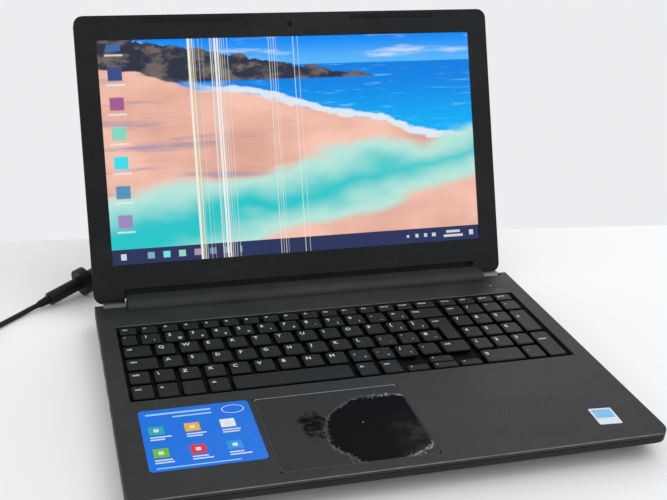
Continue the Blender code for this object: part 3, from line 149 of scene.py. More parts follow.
def lid_frame() -> Frame:
    """Find the hinge in the record.

    Returns:
        The lid's frame on the hinge axis, leaning back as the lid does.
    """
    for joint in frame["record"]["behaviour"]["joints"]:
        if joint["name"] == "lid_hinge":
            place = Matrix.Translation(joint["pos_m"])
            return Frame(place @ Matrix.Rotation(-math.radians(LID_LEAN), 4, "X"))
    raise KeyError("lid_hinge")


class Shade:
    """A short way to write a material as node formulas."""

    def __init__(self, material: bpy.types.Material) -> None:
        """Take up a material.

        Args:
            material: the material to write, with or without formulas so far.
        """
        material.use_nodes = True
        self.material = material
        self.tree = material.node_tree
        self.shader = self.tree.nodes["Principled BSDF"]

    @classmethod
    def new(cls, name: str) -> "Shade":
        """Return the formulas of a new material."""
        return cls(bpy.data.materials.new(name))

    def node(self, kind: str, **settings: str) -> bpy.types.Node:
        """Add a node.

        Args:
            kind: its type.
            settings: its properties.

        Returns:
            The node.
        """
        made = self.tree.nodes.new(kind)
        for key, value in settings.items():
            setattr(made, key, value)
        return made

    def put(self, socket: Socket, value: Value) -> None:
        """Feed an input.

        Args:
            socket: the input.
            value: a number, a colour or another node's output.
        """
        if isinstance(value, bpy.types.NodeSocket):
            self.tree.links.new(value, socket)
        elif isinstance(value, (tuple, list)) and len(value) == 3 and len(socket.default_value) == 4:
            socket.default_value = (*value, 1.0)
        else:
            socket.default_value = value

    def math(self, operation: str, first: Value, second: Value = 0.0, third: Value = 0.0) -> Socket:
        """Do a sum.

        Args:
            operation: the Math node's operation.
            first: its first value.
            second: its second value, where it has one.
            third: its third value, where it has one.

        Returns:
            The result.
        """
        made = self.node("ShaderNodeMath", operation=operation)
        for socket, value in zip(made.inputs, (first, second, third)):
            self.put(socket, value)
        return made.outputs[0]

    def plus(self, first: Value, second: Value) -> Socket:
        """Return first + second."""
        return self.math("ADD", first, second)

    def minus(self, first: Value, second: Value) -> Socket:
        """Return first - second."""
        return self.math("SUBTRACT", first, second)

    def line(self, value: Value, slope: Value, offset: Value) -> Socket:
        """Return value * slope + offset."""
        return self.math("MULTIPLY_ADD", value, slope, offset)

    def times(self, *factors: Value) -> Socket:
        """Return the product of two or more factors."""
        product = factors[0]
        for factor in factors[1:]:
            product = self.math("MULTIPLY", product, factor)
        return product

    def mix(self, factor: Value, first: Value, second: Value) -> Socket:
        """Mix two colours.

        Args:
            factor: 0 for the first colour and 1 for the second.
            first: the first colour.
            second: the second colour.

        Returns:
            The mixed colour.
        """
        made = self.node("ShaderNodeMix", data_type="RGBA")
        self.put(made.inputs["Factor"], factor)
        self.put(made.inputs[6], first)
        self.put(made.inputs[7], second)
        return made.outputs[2]

    def step(self, value: Value, low: float, high: float) -> Socket:
        """Rise smoothly, as 3 s**2 - 2 s**3 with s = (value - low) / (high - low).

        Args:
            value: the value to look at.
            low: where the result is still 0.
            high: where the result has reached 1.

        Returns:
            A mask from 0 to 1.
        """
        made = self.node("ShaderNodeMapRange", interpolation_type="SMOOTHSTEP")
        self.put(made.inputs["Value"], value)
        made.inputs["From Min"].default_value = low
        made.inputs["From Max"].default_value = high
        return made.outputs["Result"]

    def under(self, value: Value, low: float, high: float) -> Socket:
        """Return 1 below low and 0 above high, with a smooth fall."""
        return self.minus(1.0, self.step(value, low, high))

    def inside(self, value: Value, low: float, high: float, soft: float = 0.0005) -> Socket:
        """Pick a span of a value.

        Args:
            value: the value to look at.
            low: where the span starts.
            high: where it ends.
            soft: half the width of the rise and of the fall.

        Returns:
            A mask that is 1 inside the span.
        """
        rise = self.step(value, low - soft, low + soft)
        fall = self.step(value, high - soft, high + soft)
        return self.minus(rise, fall)

    def coordinates(self, kind: str = "Object") -> Socket:
        """Return the texture coordinate output of one kind."""
        return self.node("ShaderNodeTexCoord").outputs[kind]

    def color(self) -> Socket:
        """Return the output that feeds the base colour."""
        return self.shader.inputs["Base Color"].links[0].from_socket

    def split(self, vector: Value) -> tuple:
        """Take a vector apart.

        Args:
            vector: the vector.

        Returns:
            Its x, y and z.
        """
        made = self.node("ShaderNodeSeparateXYZ")
        self.put(made.inputs[0], vector)
        return tuple(made.outputs)

    def noise(self, vector: Value, scale: float, detail: float = 3.0, rough: float = 0.55) -> Socket:
        """Make a noise.

        Args:
            vector: where it is read.
            scale: how many lumps it has in a unit.
            detail: how many finer layers it has.
            rough: how strong each finer layer is.

        Returns:
            The noise, around 0.5.
        """
        made = self.node("ShaderNodeTexNoise")
        self.put(made.inputs["Vector"], vector)
        made.inputs["Scale"].default_value = scale
        made.inputs["Detail"].default_value = detail
        made.inputs["Roughness"].default_value = rough
        return made.outputs[0]

    def streaks(self, vector: Value, scales: tuple, detail: float = 3.0, rough: float = 0.55) -> Socket:
        """Make a noise whose lumps are longer along some axes.

        Args:
            vector: where it is read.
            scales: how many lumps it has in a unit of each axis.
            detail: how many finer layers it has.
            rough: how strong each finer layer is.

        Returns:
            The noise, around 0.5.
        """
        made = self.node("ShaderNodeMapping")
        self.put(made.inputs["Vector"], vector)
        made.inputs["Scale"].default_value = scales
        return self.noise(made.outputs[0], 1.0, detail, rough)

    def bump(self, height: Value, strength: float, distance: float) -> None:
        """Bend the shader's normal.

        Args:
            height: the height over the surface.
            strength: how much of the bend is taken.
            distance: what a height of 1 stands for, in metres.
        """
        made = self.node("ShaderNodeBump")
        made.inputs["Strength"].default_value = strength
        made.inputs["Distance"].default_value = distance
        self.put(made.inputs["Height"], height)
        self.tree.links.new(made.outputs[0], self.shader.inputs["Normal"])

    def set(self, **values: Value) -> bpy.types.Material:
        """Set the shader.

        Args:
            values: its inputs by name, with underscores for spaces.

        Returns:
            The material.
        """
        for key, value in values.items():
            self.put(self.shader.inputs[key.replace("_", " ")], value)
        return self.material


@dataclass(frozen=True)
class Finish:
    """A plain surface with grain, patches of wear and dust.

    Args:
        name: the material's name.
        tint: the linear base colour.
        roughness: the mean roughness.
        metallic: 0 for plastic and 1 for metal.
        grain: the strength of the fine moulded grain.
        dust: how much pale dust lies on the surface.
        sheen: the strength of its reflections, where 0.5 is that of bare plastic.
    """

    name: str
    tint: tuple
    roughness: float
    metallic: float = 0.0
    grain: float = 0.15
    dust: float = 0.0
    sheen: float = 0.22

    def build(self) -> bpy.types.Material:
        """Write the finish: the tint, darker and lighter in patches, with dust in specks and a thin film.

        Returns:
            The material.
        """
        shade = Shade.new(self.name)
        place = shade.coordinates()
        patches = shade.step(shade.noise(place, PATCH_SCALE, 4.0), 0.3, 0.72)
        smear = shade.streaks(place, SMEAR_SCALES, 5.0, 0.65)
        darker = tuple(DARKEST * value for value in self.tint)
        lighter = tuple(LIGHTEST * value for value in self.tint)
        color = shade.mix(patches, darker, lighter)
        if self.dust > 0.0:
            specks = shade.step(shade.noise(place, SPECK_SCALE, 3.0, 0.7), 0.66, 0.72)
            film = shade.times(shade.step(smear, 0.42, 0.7), 0.05)
            color = shade.mix(shade.times(shade.plus(specks, film), self.dust), color, DUST_COLOR)
        shade.bump(shade.noise(place, GRAIN_SCALE, 2.0), self.grain, GRAIN_DEPTH)
        rough = shade.line(smear, 0.2, self.roughness - 0.1)
        shade.set(Base_Color=color, Roughness=rough)
        return shade.set(Metallic=self.metallic, Specular_IOR_Level=self.sheen)


FINISHES = {
    "case": Finish("case_plastic", (0.012, 0.0122, 0.013), 0.52, dust=0.25),
    "deck": Finish("deck_plastic", (0.0185, 0.0186, 0.019), 0.48, grain=0.25, dust=0.4, sheen=0.28),
    "bezel": Finish("bezel_plastic", (0.0062, 0.0066, 0.0072), 0.4, grain=0.1, dust=0.3, sheen=0.2),
    "gloss": Finish("gloss_plastic", (0.003, 0.003, 0.0034), 0.3, grain=0.0, sheen=0.16),
    "keys": Finish("key_plastic", (0.006, 0.0061, 0.0064), 0.46, grain=0.2, dust=0.25, sheen=0.26),
    # The pan is darker than the caps: painted shade in the gaps between them.
    "pan": Finish("pan_plastic_and_shade", (0.002, 0.002, 0.0022), 0.6, sheen=0.1),
    "port": Finish("port_plastic", (0.02, 0.02, 0.022), 0.5),
    "tongue": Finish("tongue_plastic", (0.3, 0.3, 0.31), 0.5),
    "metal": Finish("sheet_metal", (0.48, 0.48, 0.47), 0.34, 1.0),
    "barrel": Finish("barrel_finish", (0.15, 0.15, 0.155), 0.26, 0.6, grain=0.05, sheen=0.5),
    "board": Finish("board_green", (0.02, 0.12, 0.05), 0.5),
    "rubber": Finish("rubber", (0.01, 0.01, 0.01), 0.8),
    "cord": Finish("cord_plastic", (0.006, 0.006, 0.0065), 0.46, grain=0.1, dust=0.2),
}


def key_material(finish: Finish) -> bpy.types.Material:
    """Write the caps' material, whose skirts fall off to black below their shoulders as painted shade.

    Args:
        finish: the finish of the caps' tops.

    Returns:
        The material.
    """
    shade = Shade(finish.build())
    _, _, height = shade.split(shade.coordinates())
    # Painted shade: below their shoulders the caps turn black and lose their reflections.
    lit = shade.step(height, (DECK_HEIGHT - 1.9) * MM, (DECK_HEIGHT - 0.7) * MM)
    shade.set(Base_Color=shade.mix(lit, SKIRT_SHADE_BLACK, shade.color()))
    return shade.set(Specular_IOR_Level=shade.times(lit, finish.sheen))


def deck_material(finish: Finish, local: Frame) -> bpy.types.Material:
    """Write the deck's material, with a painted highlight along its front edge and along the well's rear
    edge.

    Args:
        finish: the finish of the rest of the deck.
        local: the base frame.

    Returns:
        The material.
    """
    shade = Shade(finish.build())
    place = shade.coordinates()
    x, y, height = shade.split(place)
    edge = shade.step(height, (DECK_HEIGHT - 0.6) * MM, (DECK_HEIGHT - 0.3) * MM)
    front = shade.times(shade.under(y, local.deep(0.5), local.deep(1.1)), edge)
    well = shade.inside(x, local.across(-177.0), local.across(177.0))
    rear = shade.times(shade.inside(y, local.deep(216.4), local.deep(217.0), 0.0001), well)
    # Painted highlight: an uneven pale line along the deck's front edge and the well's rear edge.
    patchy = shade.line(shade.noise(place, 90.0), 0.8, 0.1)
    pale = shade.times(shade.math("MAXIMUM", front, rear), patchy)
    return shade.set(Base_Color=shade.mix(pale, shade.color(), (0.3, 0.3, 0.3)))


def plain(name: str, tint: tuple, roughness: float = 0.4) -> bpy.types.Material:
    """Write a printed colour with a faint unevenness.

    Args:
        name: the material's name.
        tint: the linear colour.
        roughness: its roughness.

    Returns:
        The material.
    """
    shade = Shade.new(name)
    spots = shade.step(shade.noise(shade.coordinates(), 300.0), 0.4, 0.7)
    faded = tuple(min(1.0, 1.05 * value + 0.003) for value in tint)
    shade.set(Roughness=roughness, Specular_IOR_Level=0.2)
    return shade.set(Base_Color=shade.mix(spots, tint, faded))


def legend_ink() -> bpy.types.Material:
    """Write the pale ink of the legends, worn thin in spots.

    Returns:
        The material.
    """
    shade = Shade.new("legend_ink")
    worn = shade.step(shade.noise(shade.coordinates(), 700.0), 0.3, 0.5)
    return shade.set(Base_Color=shade.mix(worn, (0.3, 0.3, 0.3), (0.8, 0.81, 0.82)), Roughness=0.5)


class Finishes:
    """The materials of the solids and of the plain added pieces, each made once."""

    def __init__(self) -> None:
        """Build every finish."""
        self.made = {name: finish.build() for name, finish in FINISHES.items() if name != "keys"}
        self.made["keys"] = key_material(FINISHES["keys"])

    def __getitem__(self, name: str) -> bpy.types.Material:
        """Return the material of one finish."""
        return self.made[name]


@dataclass
class Surface:
    """A mesh gathered from patches before it becomes one piece.

    Args:
        vertices: the patches' points, in millimetres.
        faces: the faces, which count the points of all patches.
        count: how many points there are.
    """

    vertices: list = field(default_factory=list)
    faces: list = field(default_factory=list)
    count: int = 0

    def add(self, vertices: np.ndarray, faces: list) -> None:
        """Add a patch.

        Args:
            vertices: its points, one per row.
            faces: its faces, which count its own points.
        """
        self.vertices.append(np.asarray(vertices, dtype=float))
        self.faces += [tuple(index + self.count for index in face) for face in faces]
        self.count += len(vertices)

    def loft(self, rings: list) -> None:
        """Add the surface through rings, closed at both ends.

        Each face joins two neighbours of one ring with the same two of the next ring.

        Args:
            rings: arrays with as many points each.
        """
        width = len(rings[0])
        index = np.arange(width)
        after = (index + 1) % width
        low = width * np.arange(len(rings) - 1)[:, None]
        high = low + width
        sides = np.stack([low + index, low + after, high + after, high + index], axis=-1)
        last = index + width * (len(rings) - 1)
        self.add(np.concatenate(rings), [*sides.reshape(-1, 4).tolist(), index[::-1].tolist(), last.tolist()])

    def band(self, outer: np.ndarray, inner: np.ndarray, height: float) -> None:
        """Add the flat band between two outlines.

        Args:
            outer: x, y points of the outer outline, anticlockwise.
            inner: as many points of the inner outline.
            height: the height of both.
        """
        index = np.arange(len(outer))
        after = (index + 1) % len(outer)
        faces = np.stack([index, after, len(outer) + after, len(outer) + index], axis=-1)
        self.add(level(np.concatenate([outer, inner]), height), faces.tolist())

    def slab(self, outline: np.ndarray, low: float, high: float) -> None:
        """Add the upright slab of an outline, closed at both ends."""
        self.loft([level(outline, low), level(outline, high)])

    def box(self, low: tuple, high: tuple) -> None:
        """Add a box between two corners."""
        ring = np.array([(low[0], low[1]), (high[0], low[1]), (high[0], high[1]), (low[0], high[1])], float)
        self.slab(ring, low[2], high[2])

    def piece(self, name: str, local: Frame, material: bpy.types.Material, body: str, slot: Slot,
              smooth: bool = False) -> bpy.types.Object:
        """Make the object.

        Args:
            name: its name.
            local: the frame that its points are given in.
            material: its material.
            body: the body that it rides on.
            slot: its slot of the record; not used.
            smooth: whether its soft edges are shaded smooth.

        Returns:
            The object.
        """
        mesh = bpy.data.meshes.new(name)
        mesh.from_pydata(local.points(np.concatenate(self.vertices)).tolist(), [], self.faces)
        mesh.materials.append(material)
        mesh.update()
        if smooth:
            mesh.shade_smooth()
            mesh.set_sharp_from_angle(angle=math.radians(SMOOTH_ANGLE))
        made = bpy.data.objects.new(name, mesh)
        bpy.context.scene.collection.objects.link(made)
        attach(made, body)
        LOG.info("made %s with %d vertices", name, self.count)
        return made


def level(ring: np.ndarray, height: float) -> np.ndarray:
    """Return a ring of x, y points at one height."""
    return np.column_stack([ring, np.full(len(ring), height)])


def circle(count: int) -> np.ndarray:
    """Return the points (cos a, sin a) of a circle, evenly spaced."""
    angles = 2 * math.pi * np.arange(count) / count
    return np.column_stack([np.cos(angles), np.sin(angles)])


def rounded_ring(left: float, right: float, front: float, rear: float, radius: float,
                 segments: int = 5) -> np.ndarray:
    """Work out a rounded rectangle, each corner a quarter circle, centre + radius * (cos a, sin a).

    Args:
        left: its left edge.
        right: its right edge.
        front: its front edge.
        rear: its rear edge.
        radius: the corners' radius, which the shorter side may limit.
        segments: how many straight parts a corner has.

    Returns:
        Its x, y points, anticlockwise from the left end of the front left corner.
    """
    radius = min(radius, (right - left) / 2.01, (rear - front) / 2.01)
    left, right, front, rear = left + radius, right - radius, front + radius, rear - radius
    centres = np.array([(left, front), (right, front), (right, rear), (left, rear)])
    starts = np.radians([180.0, 270.0, 0.0, 90.0])[:, None]
    angles = starts + math.pi / 2 * np.arange(segments + 1) / segments
    arcs = centres[:, None] + radius * np.stack([np.cos(angles), np.sin(angles)], axis=-1)
    return arcs.reshape(-1, 2)


def write(surface: Surface, text: str, x: float, y: float, z: float, size: float) -> None:
    """Add flat lettering to a surface.

    Args:
        surface: the surface.
        text: the letters.
        x: where their left end is.
        y: where their baseline is.
        z: their height.
        size: the letters' size.
    """
    curve = bpy.data.curves.new("letters", "FONT")
    curve.body = text
    curve.size = size
    curve.offset = BOLD * size
    curve.resolution_u = 2
    carrier = bpy.data.objects.new("letters", curve)
    bpy.context.scene.collection.objects.link(carrier)
    graph = bpy.context.evaluated_depsgraph_get()
    mesh = bpy.data.meshes.new_from_object(carrier.evaluated_get(graph))
    places = np.zeros(len(mesh.vertices) * 3)
    mesh.vertices.foreach_get("co", places)
    places = places.reshape(-1, 3) + np.array((x, y, z))
    surface.add(places, [tuple(face.vertices) for face in mesh.polygons])
    bpy.data.objects.remove(carrier)
    bpy.data.curves.remove(curve)
    bpy.data.meshes.remove(mesh)


@dataclass(frozen=True)
class Key:
    """One key cap.

    Args:
        left: left edge in the base frame.
        right: right edge.
        front: front edge.
        rear: rear edge.
        legend: the generic lettering on the cap.
        second: a smaller second mark at the lower right.
        node: the CAD node that it replaces, empty for a fixed cap.
    """

    left: float
    right: float
    front: float
    rear: float
    legend: str = ""
    second: str = ""
    node: str = ""


@dataclass
class Keyboard:
    """The caps, the plate between them and their legends, in the base frame.

    Args:
        local: the base frame.
        finishes: the scene's materials.
        cap_top: height of the caps' tops.
        cap_under: height of their lower edges.
        cap_corner: radius of their corners.
        plate_top: height of the plate.
        plate_thickness: its thickness.
        plate_front: its front edge.
        plate_rear: its rear edge.
        left: left edge of the first caps.
        right: right edge of the last caps before the number pad.
        cap: width of a letter cap.
        function_cap: width of a cap of the function row.
        pad_columns: left edges of the number pad's caps.
        pad_cap: their width.
        legend_lift: how far a legend lies above the cap's top.
        letter: size of a single letter.
        word: size of a longer legend.
        low_word: size of a legend on a shallow cap.
        shallow: depth under which a cap is shallow.
    """

    local: Frame
    finishes: Finishes
    cap_top: float = -0.3
    cap_under: float = -2.6
    cap_corner: float = 1.7
    plate_top: float = -4.6
    plate_thickness: float = 1.5
    plate_front: float = 107.9
    plate_rear: float = 215.9
    left: float = -174.3
    right: float = 99.5
    cap: float = 15.7
    function_cap: float = 13.8
    pad_columns: tuple = (104.3, 122.2, 140.1, 158.0)
    pad_cap: float = 15.2
    legend_lift: float = 0.03
    letter: float = 5.6
    word: float = 3.3
    low_word: float = 3.1
    shallow: float = 11.0

    def __post_init__(self) -> None:
        """Make the legends' ink."""
        self.ink = legend_ink()

    def run(self, row: Row, first: float, pitch: float, width: float, legends: list) -> list:
        """Space keys evenly along a row.

        Args:
            row: the row.
            first: left edge of the first key.
            pitch: distance from one key to the next.
            width: width of a cap.
            legends: one for each key, with its second mark after a bar.

        Returns:
            The keys.
        """
        keys = []
        for index, legend in enumerate(legends):
            text, _, second = legend.partition("|")
            left = first + index * pitch
            keys.append(Key(left, left + width, *row.value, text, second))
        return keys

    def wide(self, row: Row, left: float, right: float, legend: str, node: str = "") -> Key:
        """Return one key with its own edges."""
        return Key(left, right, *row.value, legend, "", node)

    def fixed(self) -> list:
        """List the caps that don't travel, row by row and then those of the number pad.

        Returns:
            The keys.
        """
        functions = ["esc", *[f"f{number}" for number in range(1, 13)], "prt sc", "insert"]
        digits = ["1|!", "2|@", "3|#", "4|$", "5|%", "6|^", "7|&", "8|*", "9|(", "0|)", "-|_", "=|+"]
        keys = self.run(Row.FUNCTION, self.left, 17.09, self.function_cap, functions)
        keys.append(self.wide(Row.FUNCTION, 82.0, self.right, "delete"))
        keys.append(self.wide(Row.DIGIT, self.left, -161.8, "`"))
        keys += self.run(Row.DIGIT, -158.6, 19.2, self.cap, digits)
        keys += self.run(Row.UPPER, -149.6, 19.42, self.cap, [*"QWERTYUIOP", "[|{", "]|}"])
        keys += self.run(Row.HOME, -146.2, 19.4, self.cap, [*"ASDFGHJKL", ";|:", "'|\"", "#|~"])
        keys += self.run(Row.LOWER, -155.4, 19.4, self.cap, ["\\", *"ZXCVBNM", ",|<", ".|>", "/|?", "-"])
        for left, right, legend in (
            (self.left, -158.3, "ctrl"), (-155.5, -140.0, "fn"), (-136.8, -120.5, ""),
            (-117.0, -101.4, "alt"), (-1.0, 14.3, "alt"), (18.6, 33.6, "ctrl"),
        ):
            keys.append(self.wide(Row.SPACE, left, right, legend))
        keys.append(self.wide(Row.ARROW, 37.8, 55.5, "<"))
        keys.append(self.wide(Row.ARROW, 82.0, self.right, ">"))
        pad = {
            Row.FUNCTION: ("home", "end", "pg up", "pg dn"), Row.DIGIT: ("num", "/", "*", "-"),
            Row.UPPER: ("7", "8", "9"), Row.HOME: ("4", "5", "6"), Row.LOWER: ("1", "2", "3"),
        }
        for row, legends in pad.items():
            for left, legend in zip(self.pad_columns, legends):
                keys.append(self.wide(row, left, left + self.pad_cap, legend))
        dot = self.pad_columns[2]
        keys.append(self.wide(Row.SPACE, dot, dot + self.pad_cap, "."))
        return keys

    def moving(self) -> list:
        """List the caps that travel, apart from Enter.

        Returns:
            The keys, each with its CAD node.
        """
        first, second, _, last = self.pad_columns
        end = last + self.pad_cap
        return [
            self.wide(Row.DIGIT, 72.0, self.right, "bksp", "key_backspace"),
            self.wide(Row.UPPER, self.left, -152.6, "tab", "key_tab"),
            self.wide(Row.HOME, self.left, -150.0, "caps", "key_caps"),
            self.wide(Row.LOWER, self.left, -158.5, "shift", "key_shift_left"),
            self.wide(Row.LOWER, 77.4, self.right, "shift", "key_shift_right"),
            self.wide(Row.SPACE, -98.5, -5.8, "", "key_space"),
            self.wide(Row.ARROW_HIGH, 59.3, 79.0, "^", "key_up"),
            self.wide(Row.ARROW, 59.3, 79.0, "v", "key_down"),
            self.wide(Row.SPACE, first, second + self.pad_cap, "0", "key_pad_zero"),
            Key(last, end, Row.HOME.value[0], Row.UPPER.value[1], "+", "", "key_pad_plus"),
            Key(last, end, Row.SPACE.value[0], Row.LOWER.value[1], "enter", "", "key_pad_enter"),
        ]

    def cap_rings(self, key: Key) -> list:
        """Work out a cap: straight skirt, rounded shoulder and a slightly dished top.

        Args:
            key: the key.

        Returns:
            Its rings from the lower edge to the middle of the top, each a rounded rectangle.
        """
        profile = (
            (0.0, self.cap_under), (0.1, -1.6), (0.35, -0.75), (0.6, -0.42), (0.95, self.cap_top),
            (2.2, self.cap_top - 0.06), (3.6, self.cap_top - 0.12),
        )
        rings = []
        for inset, height in profile:
            sides = (key.left + inset, key.right - inset, key.front + inset, key.rear - inset)
            rings.append(level(rounded_ring(*sides, self.cap_corner, 4), height))
        return rings

    def legend(self, surface: Surface, key: Key) -> None:
        """Write a key's lettering on its cap.

        Args:
            surface: the surface that takes the letters.
            key: the key.
        """
        wide = key.right - key.left
        deep = key.rear - key.front
        size = self.letter if len(key.legend) == 1 else self.word
        if deep < self.shallow:
            size = self.low_word
        height = self.cap_top + self.legend_lift
        if key.legend:
            left = key.left + 0.17 * min(wide, 16.0)
            write(surface, key.legend, left, key.rear - 0.3 * deep - 0.4 * size, height, size)
        if key.second:
            write(surface, key.second, key.right - 0.36 * wide, key.front + 0.2 * deep, height, 0.62 * size)

    def enter(self) -> None:
        """Make the Enter key, which steps over two rows, and its legend."""
        wide, narrow, size = 82.6, 86.8, 2.9
        rings = []
        for grow, height in ((0.0, self.cap_under), (0.1, -1.5), (0.45, -0.6), (0.9, self.cap_top)):
            low, middle = Row.HOME.value[0] + grow, Row.UPPER.value[0] + grow
            top, right = Row.UPPER.value[1] - grow, self.right - grow
            ring = np.array([
                (narrow + grow, low), (right, low), (right, top), (wide + grow, top), (wide + grow, middle),
                (narrow + grow, middle),
            ])
            rings.append(level(ring, height))
        cap, ink = Surface(), Surface()
        cap.loft(rings)
        made = cap.piece("enter_cap", self.local, self.finishes["keys"], "key_enter", Slot.KEYS, True)
        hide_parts("key_enter")
        write(ink, "enter", wide + 2.2, Row.UPPER.value[1] - 6.5, self.cap_top + self.legend_lift, size)
        ink.piece("enter_legend", self.local, self.ink, "key_enter", Slot.KEYS)

    def plate(self) -> None:
        """Make the plate between the caps, as wide as the solid keyboard, near black as painted shade in the
        gaps.
        """
        low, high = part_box("keyboard")
        plate = Surface()
        plate.box((low[0] / MM, self.plate_front, self.plate_top - self.plate_thickness),
                  (high[0] / MM, self.plate_rear, self.plate_top))
        floor = plate.piece("key_plate", self.local, self.finishes["pan"], Body.BASE.value, Slot.KEYS, True)
        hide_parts("keyboard")

    def build(self) -> None:
        """Make the plate, the fixed caps and the moving caps."""
        keys = self.finishes["keys"]
        self.plate()
        caps, ink = Surface(), Surface()
        for key in self.fixed():
            caps.loft(self.cap_rings(key))
            self.legend(ink, key)
        caps.piece("fixed_caps", self.local, keys, Body.BASE.value, Slot.KEYS, True)
        ink.piece("fixed_legends", self.local, self.ink, Body.BASE.value, Slot.KEYS)
        for key in self.moving():
            cap, ink = Surface(), Surface()
            cap.loft(self.cap_rings(key))
            made = cap.piece(f"{key.node}_cap", self.local, keys, key.node, Slot.KEYS, True)
            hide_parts(key.node)
            if key.legend:
                self.legend(ink, key)
                ink.piece(f"{key.node}_legend", self.local, self.ink, key.node, Slot.KEYS)
        self.enter()


@dataclass
class Deck:
    """What lies on the deck: the touchpad's wear, the sheet, the label and the small light.

    Args:
        local: the base frame.
        lift: thickness of a printed mark.
        thickness: height of the sheet's and the label's top over the deck.
        patch: middle of the touchpad's worn patch.
        patch_half: its half widths.
        patch_power: 2 for an oval patch, and more for a squarer one.
        blot: middle of the smudge beside the patch.
        blot_half: its half widths.
        pad_outline: left, right, front and rear edge of the line round the touchpad.
        pad_line: width of that line.
        division: left, right, front and rear edge of the mark that divides the touchpad's front.
        dot: left, right, front and rear edge of its pale dot.
        sheet_outline: left, right, front and rear edge of the sheet.
        sheet_left: left edge of what is printed on it.
        square: width of a coloured field on it.
        pitch: distance from one field to the next, both ways.
        oval: middle of its oval.
        oval_half: the oval's half widths.
        oval_line: width of the oval's line.
        label_middle: middle of the small label.
        label_turn: its turn in degrees.
        label_outline: left, right, front and rear edge of the label, from its middle.
        label_field: left, right, front and rear edge of its blue field.
        light: middle of the status light.
        light_radius: its radius.
    """

    local: Frame
    lift: float = 0.05
    thickness: float = 0.1
    patch: tuple = (-8.0, 45.5)
    patch_half: tuple = (40.5, 37.5)
    patch_power: float = 2.2
    blot: tuple = (-55.0, 57.0)
    blot_half: tuple = (14.0, 20.0)
    pad_outline: tuple = (-89.9, 20.4, 10.1, 94.4)
    pad_line: float = 0.35
    division: tuple = (-41.05, -40.6, 10.2, 22.6)
    dot: tuple = (-20.1, -19.5, 53.0, 53.6)
    sheet_outline: tuple = (-173.3, -94.0, 26.3, 94.7)
    sheet_left: float = -168.5
    square: float = 10.5
    pitch: float = 25.0
    oval: tuple = (-106.5, 86.0)
    oval_half: tuple = (8.2, 5.0)
    oval_line: float = 0.6
    label_middle: tuple = (154.2, 27.0)
    label_turn: float = -4.0
    label_outline: tuple = (-8.7, 8.7, -9.5, 9.5)
    label_field: tuple = (-7.2, 7.2, -2.0, 8.0)
    light: tuple = (164.0, 231.5)
    light_radius: float = 0.9

    def offset(self, shade: Shade, place: Socket, middle: tuple, half: tuple) -> tuple:
        """Measure from a middle.

        Args:
            shade: the material.
            place: the coordinates.
            middle: the middle's x and y.
            half: the half widths.

        Returns:
            The distances along x and y, in half widths.
        """
        x, y, _ = shade.split(place)
        u = shade.times(shade.minus(x, self.local.across(middle[0])), 1.0 / (half[0] * MM))
        v = shade.times(shade.minus(y, self.local.deep(middle[1])), 1.0 / (half[1] * MM))
        return u, v

    def reach(self, shade: Shade, place: Socket) -> Socket:
        """Measure from the worn patch's middle, as |u| ** power + |v| ** power - 0.34 u v.

        Args:
            shade: the material.
            place: the coordinates.

        Returns:
            A value that two noises bend, about 0.95 along the patch's border.
        """
        u, v = self.offset(shade, place, self.patch, self.patch_half)
        power_u = shade.math("POWER", shade.math("ABSOLUTE", u), self.patch_power)
        power_v = shade.math("POWER", shade.math("ABSOLUTE", v), self.patch_power)
        reach = shade.plus(shade.plus(power_u, power_v), shade.times(u, v, -0.34))
        reach = shade.plus(reach, shade.line(shade.noise(place, 420.0, 4.0, 0.7), 0.7, -0.35))
        return shade.plus(reach, shade.line(shade.noise(place, 60.0, 2.0), 0.5, -0.25))

    def smudge(self, shade: Shade, place: Socket) -> Socket:
        """Pick the smudge, where u ** 2 + v ** 2 is small once a noise has bent it.

        Args:
            shade: the material.
            place: the coordinates.

        Returns:
            A mask that is 1 in the smudge.
        """
        u, v = self.offset(shade, place, self.blot, self.blot_half)
        spread = shade.plus(shade.times(u, u), shade.times(v, v))
        spread = shade.plus(spread, shade.line(shade.noise(place, 190.0, 4.0, 0.6), 3.2, -1.6))
        return shade.under(spread, -0.1, 0.9)

    def worn_pad(self) -> bpy.types.Material:
        """Write the touchpad: matte, with a smudge and a glossy black patch with a flecked pale rim.

        The patch is scratched grey at its front right.

        Returns:
            The material.
        """
        shade = Shade.new("worn_touchpad")
        place = shade.coordinates()
        x, y, _ = shade.split(place)
        reach = self.reach(shade, place)
        smudge = self.smudge(shade, place)
        worn = shade.under(reach, 0.93, 0.97)
        right = shade.step(x, self.local.across(-12.0), self.local.across(16.0))
        flecks = shade.step(shade.noise(place, 1300.0, 4.0, 0.8), 0.49, 0.56)
        rim = shade.times(shade.inside(reach, 0.94, 1.03, 0.03), flecks, shade.line(right, 0.75, 0.25))
        scratch = shade.step(shade.streaks(place, (260.0, 1400.0, 1.0), 3.0, 0.6), 0.5, 0.72)
        patchy = shade.step(shade.noise(place, 130.0, 5.0, 0.65), 0.4, 0.62)
        patchy = shade.math("MAXIMUM", shade.times(patchy, 0.5), scratch)
        front = shade.under(y, self.local.deep(36.0), self.local.deep(66.0))
        zone = shade.times(right, worn, patchy, front)
        color = shade.mix(shade.noise(place, 30.0), (0.012, 0.0122, 0.0125), (0.017, 0.0172, 0.0178))
        color = shade.mix(shade.times(smudge, 0.9), color, (0.0015, 0.0015, 0.0015))
        color = shade.mix(worn, color, (0.0012, 0.0012, 0.0014))
        color = shade.mix(shade.times(zone, 0.6), color, (0.07, 0.072, 0.075))
        color = shade.mix(rim, color, (0.62, 0.64, 0.66))
        rough = shade.plus(shade.line(worn, -0.16, 0.48), shade.times(rim, 0.3))
        shade.bump(shade.times(worn, -1.0), 0.3, 0.0001)
        dull = shade.line(shade.math("MAXIMUM", worn, smudge), -0.24, 0.27)
        return shade.set(Base_Color=color, Roughness=rough, Specular_IOR_Level=dull)

    def on_deck(self, surface: Surface, name: str, material: bpy.types.Material) -> None:
        """Make a surface a piece that lies on the deck."""
        surface.piece(name, self.local, material, Body.BASE.value, Slot.DECK)

